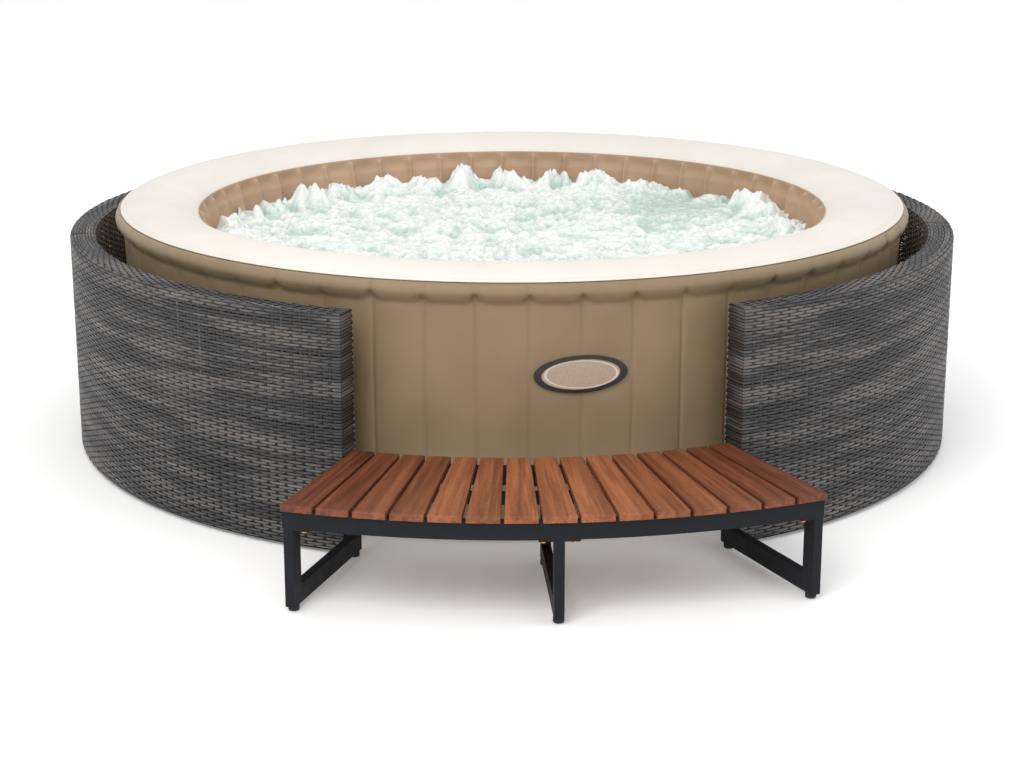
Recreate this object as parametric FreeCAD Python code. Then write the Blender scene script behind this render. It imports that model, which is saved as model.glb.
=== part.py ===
import FreeCAD, Part
import math
import os

from FreeCAD import Vector

# Inflatable round hot tub with a woven surround and a curved, slatted step.
#
# Millimetres, +Z up. The origin is on the ground at the tub's own axis and the
# front is -Y, where the surround opens for the step. An azimuth is an angle
# about that axis, in degrees, from the front towards +X. Shapes are made at
# the front, where a radius runs along -Y, and are then turned to their azimuth.

# ---- tub: a ring of air held between two fabric walls --------------------
SKIN = 3.0                     # thickness of each fabric skin
WALL_RADIUS = 1060.0           # outer wall
CHAMBER_WIDTH = 215.0          # outer wall to bath wall
TUB_HEIGHT = 660.0             # ground to the crest of the top ring
FOOT_INSET = 30.0              # how far the outer wall tucks under at the ground
FOOT_RISE = 60.0               # height over which it tucks under
NECK_DROP = 75.0               # crest down to the neck that gathers the wall panels
ROLL_PROUD = 25.0              # how far the roll over the neck stands out
ROLL_DROP = 48.0               # crest down to the widest part of the roll
SEAM_PROUD = 11.5              # outer seam of the top ring, outside the wall
SEAM_DROP = 23.0               # crest down to that seam
CREST_INSET = 105.0            # wall to the crest of the top ring
RIM_LEAN = 19.0                # how far the bath wall leans out at its top seam
RIM_DROP = 41.5                # crest down to the top seam of the bath wall
SHOULDER_DROP = 160.0          # crest down to where the bath wall starts to lean

WEB_COUNT = 54                 # upright webs that tie the two walls together
CELLS_PER_PANEL = 3            # air cells to each fabric panel of the walls and the top ring
WEB_PHASE = -1.55              # azimuth of one web
WEB_THICKNESS = 1.5
WEB_GAP = 0.6                  # room between a web's edge and the skins
WEB_HOLE_RADIUS = 35.0         # air passes from cell to cell through these
WEB_HOLE_HEIGHTS = (0.28, 0.5, 0.72)   # as shares of the tub's height

CHANNEL_RADIUS = 20.0          # bubble channel at the foot of the bath wall
CHANNEL_SKIN = 3.0
CHANNEL_GAP = 10.0             # channel to bath wall
FEED_RADIUS = 17.0             # pipe that feeds it with air
CHANNEL_HOLES = 36
CHANNEL_HOLE_RADIUS = 2.5

# ---- oval badge on the outer wall ----------------------------------------
BADGE_HALF_WIDTH = 111.0
BADGE_HALF_HEIGHT = 44.5
BADGE_RING_SIDE = 17.0         # width of the dark ring at its two sides
BADGE_RING_TOP = 8.0           # and at its top and bottom
BADGE_RING_THICK = 6.0
BADGE_PLATE_THICK = 4.0
BADGE_AZIMUTH = 5.0
BADGE_BELOW_NECK = 170.0
BADGE_TILT = 2.0
BADGE_OFF_WALL = 0.5

# ---- wall fittings, all at the rear ---------------------------------------
FITTING_GAP = 0.5              # fitting to fabric, and cap to fitting
PORT_SOCKET_RADIUS = 22.0      # hose socket
PORT_SOCKET_LENGTH = 40.0
PORT_SOCKET_WALL = 6.0
PORT_BORE_RADIUS = 18.0        # passage through both walls
PORT_TUBE_WALL = 4.0
PORT_SPIGOT_LENGTH = 55.0
PORT_LIP_PROUD = 3.0           # keeps the union nut on
PORT_LIP_LENGTH = 5.0
PORT_FLANGE_WIDTH = 16.0
PORT_FLANGE_THICK = 4.0
WATER_PORT_HEIGHT = 170.0
AIR_PORT_HEIGHT = 330.0
INLET_CELL = 25                # air cell, counted from the front, that holds each fitting
OUTLET_CELL = 28
AIR_CELL = 27
VALVE_CELL = 26
DRAIN_CELL = 26

NUT_WALL = 7.5
NUT_LENGTH = 30.0
NUT_RIBS = 12
NUT_RIB = 4.0
NUT_OFF_FLANGE = 8.0

HOUSING_RADIUS = 75.0          # filter housing on the inlet, inside the bath
HOUSING_WALL = 4.0
HOUSING_DEPTH = 95.0
HOUSING_WINDOWS = 8
HOUSING_WINDOW_WIDTH = 24.0
HOUSING_WINDOW_LENGTH = 45.0
CARTRIDGE_GAP = 9.0            # pleats to the housing's inside
CARTRIDGE_CORE_RADIUS = 26.0
CARTRIDGE_PLEATS = 36
CARTRIDGE_PLEAT_DEPTH = 9.0
CAP_THICK = 6.0
CAP_GRIP = 10.0

STRAINER_THICK = 4.0
STRAINER_HOLES = 8
STRAINER_HOLE_RADIUS = 3.5
STRAINER_HOLE_GAP = 1.0        # outermost holes to the edge of the port's bore

VALVE_HEIGHT = 470.0           # inflation valve
VALVE_FLANGE_RADIUS = 30.0
VALVE_BOSS_RADIUS = 20.0
VALVE_BOSS_LENGTH = 14.0
VALVE_BORE_RADIUS = 11.0
VALVE_CAP_THICK = 5.0
VALVE_PIN_RADIUS = 2.0
VALVE_PIN_CLEARANCE = 0.35
VALVE_BARREL_WALL = 2.2
VALVE_BARREL_WIDTH = 12.0
VALVE_EAR = 4.0

DRAIN_HEIGHT = 105.0           # drain
DRAIN_FLANGE_RADIUS = 27.0
DRAIN_SPIGOT_RADIUS = 16.0
DRAIN_SPIGOT_LENGTH = 22.0
DRAIN_BORE_RADIUS = 9.0
DRAIN_CAP_WALL = 4.0
DRAIN_CAP_RIBS = 8

# ---- woven surround --------------------------------------------------------
SURROUND_GAP = 53.0            # roll of the tub to the surround
PANEL_THICK = 70.0
PANEL_HEIGHT = 581.0
PANEL_GROUND_GAP = 8.0
PANEL_JOINT = 1.5              # room between neighbouring panels
FRONT_PANEL_ARC = 59.3         # degrees
REAR_GAP = 600.0               # left open at the rear for the hoses
WEAVE = 5.0                    # thickness of the woven skin
PANEL_EDGE = 8.0               # rounding of the top edges
FRAME_FIT = 0.5                # frame to woven skin
FRAME_TUBE = 25.0
FRAME_TUBE_WALL = 1.5
POSTS_PER_PANEL = 4
GLIDE_RADIUS = 11.0
GLIDE_STEM_RADIUS = 4.0
GLIDE_STEM_LENGTH = 15.0
JOIN_BOLT_RADIUS = 4.0
JOIN_HEAD_RADIUS = 7.0
JOIN_HEAD_THICK = 5.0
JOIN_BOLT_INSET = 150.0        # from the panel's top and bottom
BOLT_CLEARANCE = 0.3           # on the radius of every bolt, stud and screw hole

# ---- curved step ------------------------------------------------------------
STEP_BACK_OFFSET = 32.0        # surround's inside to the back of the slats
STEP_DEPTH = 410.0
STEP_HEIGHT = 250.0
STEP_HALF_ARC = 22.2           # degrees
STEP_CLEARANCE = 4.0           # step to each end of the surround
SLAT_COUNT = 15
SLAT_THICK = 15.0
SLAT_GAP = 8.0
SLAT_EDGE = 2.5
SLAT_OVERHANG = 10.0           # slats past the apron
STEP_TUBE = 22.0
STEP_TUBE_HEIGHT = 41.0
MID_RAIL_HEIGHT = 25.0
LEG_DEPTH = 40.0
LEG_PLATE = 4.0
LEG_PLATE_REACH = 45.0
LEG_BOLT_OFFSET = 34.0
LEG_BOLT_RADIUS = 4.0
LEG_BOLT_LENGTH = 35.0
LEG_HEAD_RADIUS = 6.5
LEG_HEAD_THICK = 4.5
FOOT_RADIUS = 12.5
FOOT_HEIGHT = 11.7
FOOT_GAP = 0.3
FOOT_EDGE = 3.0
STUD_RADIUS = 4.0
STUD_LENGTH = 28.0
STUD_HOLE_EXTRA = 3.0
SCREW_RADIUS = 2.2
SCREW_HEAD_RADIUS = 4.6
SCREW_HEAD_THICK = 3.5
SCREW_BITE = 10.0              # how far a screw goes into its slat

# ---- sizes that follow from those above -------------------------------------
ORIGIN = Vector(0, 0, 0)
UP = Vector(0, 0, 1)
OUTWARD = Vector(0, -1, 0)
ASIDE = Vector(1, 0, 0)
PAST = 5.0                     # how far a cutting shape runs past the cut face

BATH_RADIUS = WALL_RADIUS - CHAMBER_WIDTH
FLOOR_RADIUS = WALL_RADIUS - FOOT_INSET
NECK_HEIGHT = TUB_HEIGHT - NECK_DROP
SEAM = (WALL_RADIUS + SEAM_PROUD, TUB_HEIGHT - SEAM_DROP)
RIM = (BATH_RADIUS + RIM_LEAN, TUB_HEIGHT - RIM_DROP)
CELL_ARC = 360.0 / WEB_COUNT

PORT_SPIGOT_RADIUS = PORT_SOCKET_RADIUS + PORT_SOCKET_WALL
PORT_LIP_RADIUS = PORT_SPIGOT_RADIUS + PORT_LIP_PROUD
PORT_TUBE_RADIUS = PORT_BORE_RADIUS + PORT_TUBE_WALL
PORT_FLANGE_RADIUS = PORT_SPIGOT_RADIUS + PORT_FLANGE_WIDTH
NUT_RADIUS = PORT_SPIGOT_RADIUS + FITTING_GAP + NUT_WALL
CARTRIDGE_RADIUS = HOUSING_RADIUS - HOUSING_WALL - CARTRIDGE_GAP
STRAINER_HOLE_CIRCLE = PORT_BORE_RADIUS - STRAINER_HOLE_RADIUS - STRAINER_HOLE_GAP

PANEL_INSIDE = WALL_RADIUS + ROLL_PROUD + SURROUND_GAP
PANEL_OUTSIDE = PANEL_INSIDE + PANEL_THICK
PANEL_MIDDLE = (PANEL_INSIDE + PANEL_OUTSIDE) / 2
FRAME_INSIDE = PANEL_INSIDE + WEAVE + FRAME_FIT
FRAME_OUTSIDE = PANEL_OUTSIDE - WEAVE - FRAME_FIT

STEP_BACK = PANEL_INSIDE + STEP_BACK_OFFSET
STEP_FRONT = STEP_BACK + STEP_DEPTH
APRON_FRONT = STEP_FRONT - SLAT_OVERHANG
REAR_RAIL_BACK = STEP_BACK + SLAT_OVERHANG
FRAME_TOP = STEP_HEIGHT - SLAT_THICK
FRAME_BOTTOM = FRAME_TOP - STEP_TUBE_HEIGHT
LEG_BOTTOM = FOOT_HEIGHT + FOOT_GAP
SLAT_ARC = 2 * STEP_HALF_ARC / SLAT_COUNT
OPENING_HALF_ARC = STEP_HALF_ARC + math.degrees(STEP_CLEARANCE / PANEL_INSIDE)
REAR_GAP_HALF_ARC = math.degrees(math.asin(REAR_GAP / 2 / PANEL_OUTSIDE))
JOINT_HALF_ARC = math.degrees(PANEL_JOINT / 2 / PANEL_MIDDLE)
FRONT_PANEL_END = OPENING_HALF_ARC + FRONT_PANEL_ARC
PANELS = {
    "front_left": (-FRONT_PANEL_END, -OPENING_HALF_ARC),
    "front_right": (OPENING_HALF_ARC, FRONT_PANEL_END),
    "rear_left": (REAR_GAP_HALF_ARC - 180, -FRONT_PANEL_END - 2 * JOINT_HALF_ARC),
    "rear_right": (FRONT_PANEL_END + 2 * JOINT_HALF_ARC, 180 - REAR_GAP_HALF_ARC),
}
PANEL_JOINTS = (-FRONT_PANEL_END - JOINT_HALF_ARC, FRONT_PANEL_END + JOINT_HALF_ARC)
SIDE_RAIL_AZIMUTH = STEP_HALF_ARC - math.degrees(
    (STEP_TUBE + SLAT_GAP) / 2 / ((STEP_BACK + STEP_FRONT) / 2))
APRON_HALF_ARC = STEP_HALF_ARC - math.degrees(SLAT_GAP / 2 / STEP_FRONT)
LEGS = {"left": -SIDE_RAIL_AZIMUTH, "centre": 0.0, "right": SIDE_RAIL_AZIMUTH}


# ---- helpers ------------------------------------------------------------------
def save(shape, node):
    """Write one node's solid, or its group of solids."""
    shape.exportStep("parts/" + node + ".step")
    box = shape.BoundBox
    print("%-24s solids %3d  volume %9.1f cm3  z %6.1f to %6.1f  valid %s"
          % (node, len(shape.Solids), shape.Volume / 1000, box.ZMin, box.ZMax, shape.isValid()))


def turned(shape, azimuth):
    """Turn a shape that was made at the front to an azimuth."""
    copy = shape.copy()
    copy.rotate(ORIGIN, UP, azimuth)
    return copy


def at(radius, height, azimuth=0.0):
    """Point at a radius, a height and an azimuth."""
    angle = math.radians(azimuth)
    return Vector(radius * math.sin(angle), -radius * math.cos(angle), height)


def section(start, *spans):
    """Closed face in the front radial plane.

    Points are (radius, height). A span is one point, for a straight line to
    it, or two, for an arc through the first to the second.
    """
    edges = []
    here = at(*start)
    for span in spans:
        there = at(*span[-1])
        if len(span) == 2:
            edges.append(Part.Arc(here, at(*span[0]), there).toShape())
        else:
            edges.append(Part.makeLine(here, there))
        here = there
    edges.append(Part.makeLine(here, at(*start)))
    return Part.Face(Part.Wire(edges))


def rectangle(inside, outside, bottom, top):
    """Rectangular section between two radii and two heights."""
    return section((inside, bottom), [(outside, bottom)], [(outside, top)], [(inside, top)])


def swept(face, start, end):
    """Turn a section into a solid from one azimuth to another."""
    return turned(face.revolve(ORIGIN, UP, end - start), start)


def block(width, inside, outside, bottom, top, shift=0.0):
    """Straight-sided block across the front radius."""
    corner = Vector(shift - width / 2, -outside, bottom)
    return Part.makeBox(width, outside - inside, top - bottom, corner)


def radial_rod(radius, inside, outside, height=0.0, shift=0.0):
    """Cylinder along the front radius, between two distances from the axis."""
    return Part.makeCylinder(radius, outside - inside, Vector(shift, -inside, height), OUTWARD)


def upright_rod(radius, centre, bottom, top, shift=0.0):
    """Vertical cylinder at a radius, shifted to one side."""
    return Part.makeCylinder(radius, top - bottom, Vector(shift, -centre, bottom), UP)


def fused(shapes):
    """One solid from several that meet."""
    shapes = list(shapes)
    return shapes[0].multiFuse(shapes[1:]).removeSplitter()


def cell_azimuth(cell):
    """Middle of an air cell, counted from the web at the front."""
    return WEB_PHASE + (cell + 0.5) * CELL_ARC


def chord_inside(radius, half_width):
    """Distance from the axis to a chord of a circle, from the chord's half width."""
    return math.sqrt(radius ** 2 - half_width ** 2)


def ribs(count, inside, outside, width, start, end):
    """Grip ribs around a radial axis at the ground."""
    rib = Part.makeBox(width, end - start, outside - inside, Vector(-width / 2, -end, inside))
    out = []
    for i in range(count):
        one = rib.copy()
        one.rotate(ORIGIN, OUTWARD, i * 360.0 / count)
        out.append(one)
    return out


# ---- tub ------------------------------------------------------------------------
def chamber_section():
    """Section of the whole air ring, out to the faces of its skins."""
    neck = (WALL_RADIUS, NECK_HEIGHT)
    roll = (WALL_RADIUS + ROLL_PROUD, TUB_HEIGHT - ROLL_DROP)
    crest = (WALL_RADIUS - CREST_INSET, TUB_HEIGHT)
    shoulder = (BATH_RADIUS, TUB_HEIGHT - SHOULDER_DROP)
    foot = (WALL_RADIUS, FOOT_RISE)
    tuck = (WALL_RADIUS - 0.3 * FOOT_INSET, 0.4 * FOOT_RISE)
    return section((BATH_RADIUS, SKIN), [shoulder], [RIM], [crest, SEAM], [roll, neck],
                   [foot], [tuck, (FLOOR_RADIUS, SKIN)])


def skin_sections():
    """Sections of the outer wall, the top ring and the bath wall."""
    whole = chamber_section()
    air = whole.makeOffset2D(-SKIN)
    below = rectangle(BATH_RADIUS + SKIN, FLOOR_RADIUS - SKIN, -PAST, FOOT_RISE / 2)
    skin = whole.cut(air.fuse(below))
    slope = (SEAM[1] - RIM[1]) / (SEAM[0] - RIM[0])
    far_in, far_out = BATH_RADIUS - PAST, WALL_RADIUS + ROLL_PROUD + PAST
    line_in = RIM[1] - slope * (RIM[0] - far_in)
    line_out = SEAM[1] + slope * (far_out - SEAM[0])
    high = TUB_HEIGHT + PAST
    above = section((far_in, line_in), [(far_out, line_out)], [(far_out, high)], [(far_in, high)])
    middle = (BATH_RADIUS + WALL_RADIUS) / 2
    low_outside = rectangle(middle, far_out, -PAST, high).cut(above)
    low_inside = rectangle(far_in, middle, -PAST, high).cut(above)
    return skin.common(low_outside), skin.common(above), skin.common(low_inside)


def passage(radius, cell, height, inside, outside):
    """Cutter for a hole through a wall at an air cell."""
    return turned(radial_rod(radius, inside, outside, height), cell_azimuth(cell))


def wall_holes():
    """Cutters for everything that passes through the tub's walls."""
    inside, outside = BATH_RADIUS - PAST, WALL_RADIUS + PAST
    middle = (BATH_RADIUS + WALL_RADIUS) / 2
    tube = PORT_TUBE_RADIUS + FITTING_GAP
    return [
        passage(tube, INLET_CELL, WATER_PORT_HEIGHT, inside - PAST, outside),
        passage(tube, OUTLET_CELL, WATER_PORT_HEIGHT, inside - PAST, outside),
        passage(tube, AIR_CELL, AIR_PORT_HEIGHT, inside - PAST, outside),
        passage(VALVE_BORE_RADIUS + FITTING_GAP, VALVE_CELL, VALVE_HEIGHT, middle, outside),
        passage(DRAIN_BORE_RADIUS + FITTING_GAP, DRAIN_CELL, DRAIN_HEIGHT, middle, outside),
    ]


def wall_panels(face):
    """Ring of fabric panels, each a few air cells wide, which meet edge to edge at a web."""
    seams = [WEB_PHASE + i * CELL_ARC for i in range(0, WEB_COUNT, CELLS_PER_PANEL)]
    ends = seams[1:] + [seams[0] + 360]
    return [swept(face, start, end) for start, end in zip(seams, ends)]


def pierced(panels, cutters):
    """The same panels with holes where a cutter meets them."""
    return Part.makeCompound([solid for panel in panels for solid in panel.cut(cutters).Solids])


def make_skins():
    outer, ring, inner = skin_sections()
    holes = wall_holes()
    save(pierced(wall_panels(outer.Faces[0]), holes), "tub_outer_wall")
    save(Part.makeCompound(wall_panels(ring.Faces[0])), "tub_top_ring")
    save(pierced(wall_panels(inner.Faces[0]), holes), "tub_inner_wall")
    save(Part.makeCylinder(FLOOR_RADIUS, SKIN), "tub_floor")


def make_webs():
    face = chamber_section().makeOffset2D(-(SKIN + WEB_GAP))
    middle = (BATH_RADIUS + WALL_RADIUS) / 2
    face.translate(ASIDE * (-WEB_THICKNESS / 2))
    web = face.extrude(ASIDE * WEB_THICKNESS)
    for share in WEB_HOLE_HEIGHTS:
        centre = Vector(-WEB_THICKNESS, -middle, share * TUB_HEIGHT)
        web = web.cut(Part.makeCylinder(WEB_HOLE_RADIUS, 2 * WEB_THICKNESS, centre, ASIDE))
    azimuths = [WEB_PHASE + i * CELL_ARC for i in range(WEB_COUNT)]
    save(Part.makeCompound([turned(web, azimuth) for azimuth in azimuths]), "wall_webs")


def make_bubble_channel():
    """Perforated ring at the foot of the bath wall, in lengths, with its feed pipe."""
    height = SKIN + CHANNEL_RADIUS
    centre = BATH_RADIUS - CHANNEL_GAP - CHANNEL_RADIUS
    feed_top = AIR_PORT_HEIGHT + PORT_FLANGE_RADIUS
    feed_azimuth = cell_azimuth(AIR_CELL)
    bore = CHANNEL_RADIUS - CHANNEL_SKIN
    middle = at(centre, height)
    tube = Part.Face(Part.Wire(Part.makeCircle(CHANNEL_RADIUS, middle, ASIDE)))
    tube = tube.cut(Part.Face(Part.Wire(Part.makeCircle(bore, middle, ASIDE))))
    ring = Part.makeTorus(centre, CHANNEL_RADIUS, Vector(0, 0, height), UP)
    feed = upright_rod(FEED_RADIUS, centre, height, feed_top)
    feed_bore = upright_rod(FEED_RADIUS - CHANNEL_SKIN, centre, height, feed_top - CHANNEL_SKIN)
    feed_bore = turned(feed_bore, feed_azimuth)
    mouth = passage(PORT_BORE_RADIUS / 2, AIR_CELL, AIR_PORT_HEIGHT, centre, BATH_RADIUS)
    hole = upright_rod(CHANNEL_HOLE_RADIUS, centre, height, height + 2 * CHANNEL_RADIUS)
    spacing = 360.0 / CHANNEL_HOLES
    holes = [turned(hole, feed_azimuth + (i + 0.5) * spacing) for i in range(CHANNEL_HOLES)]
    lengths = pierced(wall_panels(tube.Faces[0]), holes + [feed_bore])
    feed = turned(feed, feed_azimuth).cut([ring, feed_bore, mouth])
    save(Part.makeCompound(lengths.Solids + feed.Solids), "bubble_channel")


def oval(half_width, half_height, thick):
    """Oval plate that follows the outer wall, at the front."""
    ellipse = Part.Ellipse(ORIGIN, half_width, half_height).toShape()
    prism = Part.Face(Part.Wire(ellipse)).extrude(UP * (2 * PAST + WALL_RADIUS))
    prism.rotate(ORIGIN, ASIDE, 90)
    inside = WALL_RADIUS + BADGE_OFF_WALL
    height = 2 * half_height + PAST
    shell = swept(rectangle(inside, inside + thick, -height, height), -90, 90)
    return prism.common(shell)


def make_badge():
    height = NECK_HEIGHT - BADGE_BELOW_NECK
    inner_width = BADGE_HALF_WIDTH - BADGE_RING_SIDE
    inner_height = BADGE_HALF_HEIGHT - BADGE_RING_TOP
    ring = oval(BADGE_HALF_WIDTH, BADGE_HALF_HEIGHT, BADGE_RING_THICK)
    ring = ring.cut(oval(inner_width, inner_height, BADGE_RING_THICK + PAST))
    plate = oval(inner_width - FITTING_GAP, inner_height - FITTING_GAP, BADGE_PLATE_THICK)
    for shape, node in ((ring, "badge_ring"), (plate, "badge_plate")):
        shape.rotate(ORIGIN, OUTWARD, BADGE_TILT)
        shape.translate(UP * height)
        save(turned(shape, BADGE_AZIMUTH), node)


# ---- fittings: made on the front radius at the ground, then placed ------------------
def placed(shape, cell, height):
    moved = shape.copy()
    moved.translate(UP * height)
    return turned(moved, cell_azimuth(cell))


OUTER_FLANGE = WALL_RADIUS + FITTING_GAP
INNER_FLANGE = chord_inside(BATH_RADIUS, PORT_FLANGE_RADIUS) - FITTING_GAP
SPIGOT_END = OUTER_FLANGE + PORT_FLANGE_THICK + PORT_SPIGOT_LENGTH


def port(has_inner_flange):
    """Hose port: flange, spigot with a socket, and a tube through both walls."""
    tube_end = INNER_FLANGE - PORT_FLANGE_THICK
    pieces = [
        radial_rod(PORT_FLANGE_RADIUS, OUTER_FLANGE, OUTER_FLANGE + PORT_FLANGE_THICK),
        radial_rod(PORT_SPIGOT_RADIUS, OUTER_FLANGE, SPIGOT_END),
        radial_rod(PORT_LIP_RADIUS, SPIGOT_END - PORT_LIP_LENGTH, SPIGOT_END),
        radial_rod(PORT_TUBE_RADIUS, tube_end, OUTER_FLANGE + PORT_FLANGE_THICK),
    ]
    if has_inner_flange:
        pieces.append(radial_rod(PORT_FLANGE_RADIUS, tube_end, INNER_FLANGE))
    body = fused(pieces)
    body = body.cut(radial_rod(PORT_BORE_RADIUS, tube_end - PAST, SPIGOT_END))
    return body.cut(radial_rod(PORT_SOCKET_RADIUS, SPIGOT_END - PORT_SOCKET_LENGTH,
                               SPIGOT_END + PAST))


def union_nut():
    """Ribbed nut that turns on a spigot, between its flange and its lip."""
    start = OUTER_FLANGE + PORT_FLANGE_THICK + NUT_OFF_FLANGE
    end = start + NUT_LENGTH
    body = fused([radial_rod(NUT_RADIUS, start, end)]
                 + ribs(NUT_RIBS, NUT_RADIUS - NUT_RIB, NUT_RADIUS + NUT_RIB / 2, NUT_RIB,
                        start, end))
    return body.cut(radial_rod(PORT_SPIGOT_RADIUS + FITTING_GAP, start - PAST, end + PAST))


def make_ports():
    for name, cell, height in (("inlet", INLET_CELL, WATER_PORT_HEIGHT),
                               ("outlet", OUTLET_CELL, WATER_PORT_HEIGHT),
                               ("air", AIR_CELL, AIR_PORT_HEIGHT)):
        save(placed(port(name != "air"), cell, height), name + "_port")
        save(placed(union_nut(), cell, height), name + "_union_nut")


def make_filter():
    """Housing, pleated cartridge and turning cap on the inlet, inside the bath."""
    back = INNER_FLANGE - PORT_FLANGE_THICK - FITTING_GAP
    front = back - HOUSING_DEPTH
    floor = back - HOUSING_WALL
    housing = radial_rod(HOUSING_RADIUS, front, back)
    housing = housing.cut(radial_rod(HOUSING_RADIUS - HOUSING_WALL, front - PAST, floor))
    housing = housing.cut(radial_rod(PORT_TUBE_RADIUS, floor - PAST, back + PAST))
    window_end = (front + floor + HOUSING_WINDOW_LENGTH) / 2
    housing = housing.cut(ribs(HOUSING_WINDOWS, CARTRIDGE_RADIUS, HOUSING_RADIUS + PAST,
                               HOUSING_WINDOW_WIDTH, window_end - HOUSING_WINDOW_LENGTH,
                               window_end))
    save(placed(housing, INLET_CELL, WATER_PORT_HEIGHT), "filter_housing")

    cap_back = front + CAP_THICK
    corners = []
    for i in range(2 * CARTRIDGE_PLEATS):
        reach = CARTRIDGE_RADIUS - CARTRIDGE_PLEAT_DEPTH * (i % 2)
        angle = math.pi * i / CARTRIDGE_PLEATS
        corners.append(Vector(reach * math.cos(angle), -cap_back - 2 * FITTING_GAP,
                              reach * math.sin(angle)))
    length = floor - cap_back - 3 * FITTING_GAP
    star = Part.Face(Part.makePolygon(corners + corners[:1])).extrude(OUTWARD * length)
    cartridge = star.cut(radial_rod(CARTRIDGE_CORE_RADIUS, cap_back - PAST, floor + PAST))
    save(placed(cartridge, INLET_CELL, WATER_PORT_HEIGHT), "filter_cartridge")

    cap_radius = HOUSING_RADIUS - HOUSING_WALL - FITTING_GAP
    grip = Part.makeBox(CAP_GRIP, 2 * CAP_GRIP, 1.5 * cap_radius,
                        Vector(-CAP_GRIP / 2, -front - CAP_THICK / 2, -0.75 * cap_radius))
    cap = fused([radial_rod(cap_radius, front, cap_back), grip])
    save(placed(cap, INLET_CELL, WATER_PORT_HEIGHT), "filter_cap")


def make_strainer():
    back = INNER_FLANGE - PORT_FLANGE_THICK - FITTING_GAP
    front = back - STRAINER_THICK
    plate = radial_rod(PORT_FLANGE_RADIUS, front, back)
    hole = radial_rod(STRAINER_HOLE_RADIUS, front - PAST, back + PAST)
    cutters = [hole]
    for i in range(STRAINER_HOLES):
        angle = 2 * math.pi * i / STRAINER_HOLES
        one = hole.copy()
        one.translate(Vector(math.cos(angle), 0, math.sin(angle)) * STRAINER_HOLE_CIRCLE)
        cutters.append(one)
    save(placed(plate.cut(cutters), OUTLET_CELL, WATER_PORT_HEIGHT), "outlet_strainer")


def make_inflation_valve():
    """Valve body and its flap cap, which swings up on a pin over the boss."""
    flange_end = OUTER_FLANGE + PORT_FLANGE_THICK
    boss_end = flange_end + VALVE_BOSS_LENGTH
    pin_height = VALVE_BOSS_RADIUS + VALVE_PIN_RADIUS + VALVE_BARREL_WALL + 2 * FITTING_GAP
    cap_start = boss_end + FITTING_GAP
    cap_end = cap_start + VALVE_CAP_THICK
    pin_out = cap_start + VALVE_CAP_THICK / 2
    barrel_radius = VALVE_PIN_RADIUS + VALVE_PIN_CLEARANCE + VALVE_BARREL_WALL
    ear_start = VALVE_BARREL_WIDTH / 2 + FITTING_GAP
    pin_half = ear_start + VALVE_EAR
    pin = Part.makeCylinder(VALVE_PIN_RADIUS, 2 * pin_half, Vector(-pin_half, -pin_out, pin_height),
                            ASIDE)
    ears = []
    for side in (-1, 1):
        x = ear_start if side > 0 else -ear_start - VALVE_EAR
        arm = Part.makeBox(VALVE_EAR, pin_out - flange_end, 2 * barrel_radius,
                           Vector(x, -pin_out, pin_height - barrel_radius))
        knuckle = Part.makeCylinder(barrel_radius, VALVE_EAR, Vector(x, -pin_out, pin_height), ASIDE)
        ears += [arm, knuckle]
    flange = radial_rod(VALVE_FLANGE_RADIUS, OUTER_FLANGE, flange_end)
    tube = radial_rod(VALVE_BORE_RADIUS, OUTER_FLANGE - SKIN - PAST, flange_end)
    boss = radial_rod(VALVE_BOSS_RADIUS, flange_end, boss_end)
    body = fused([flange, tube, boss, pin] + ears)
    body = body.cut(radial_rod(VALVE_BORE_RADIUS - SKIN, OUTER_FLANGE - SKIN - 2 * PAST,
                               boss_end + PAST))
    save(placed(body, VALVE_CELL, VALVE_HEIGHT), "inflation_valve_body")

    disc = radial_rod(VALVE_BOSS_RADIUS, cap_start, cap_end)
    half = VALVE_BARREL_WIDTH / 2
    barrel = Part.makeCylinder(barrel_radius, VALVE_BARREL_WIDTH, Vector(-half, -pin_out, pin_height),
                               ASIDE)
    neck = Part.makeBox(VALVE_BARREL_WIDTH, VALVE_CAP_THICK, pin_height,
                        Vector(-half, -cap_end, 0))
    bore_radius = VALVE_PIN_RADIUS + VALVE_PIN_CLEARANCE
    bore = Part.makeCylinder(bore_radius, VALVE_BARREL_WIDTH + 2 * PAST,
                             Vector(-half - PAST, -pin_out, pin_height), ASIDE)
    save(placed(fused([disc, barrel, neck]).cut(bore), VALVE_CELL, VALVE_HEIGHT),
         "inflation_valve_cap")
    print("inflation valve pin: radius", round(pin_out, 3), "height", VALVE_HEIGHT + pin_height)


def make_drain():
    flange_end = OUTER_FLANGE + PORT_FLANGE_THICK
    spigot_end = flange_end + DRAIN_SPIGOT_LENGTH
    body = fused([
        radial_rod(DRAIN_FLANGE_RADIUS, OUTER_FLANGE, flange_end),
        radial_rod(DRAIN_SPIGOT_RADIUS, OUTER_FLANGE, spigot_end),
        radial_rod(DRAIN_BORE_RADIUS, OUTER_FLANGE - SKIN - PAST, flange_end),
    ])
    body = body.cut(radial_rod(DRAIN_BORE_RADIUS - SKIN, OUTER_FLANGE - SKIN - 2 * PAST,
                               spigot_end + PAST))
    save(placed(body, DRAIN_CELL, DRAIN_HEIGHT), "drain_body")

    inner = DRAIN_SPIGOT_RADIUS + FITTING_GAP
    start = flange_end + FITTING_GAP
    end = spigot_end + FITTING_GAP + DRAIN_CAP_WALL
    cap = fused([radial_rod(inner + DRAIN_CAP_WALL, start, end)]
                + ribs(DRAIN_CAP_RIBS, inner + 1, inner + 1.5 * DRAIN_CAP_WALL, DRAIN_CAP_WALL,
                       start, end))
    cap = cap.cut(radial_rod(inner, start - PAST, spigot_end + FITTING_GAP))
    save(placed(cap, DRAIN_CELL, DRAIN_HEIGHT), "drain_cap")


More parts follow.
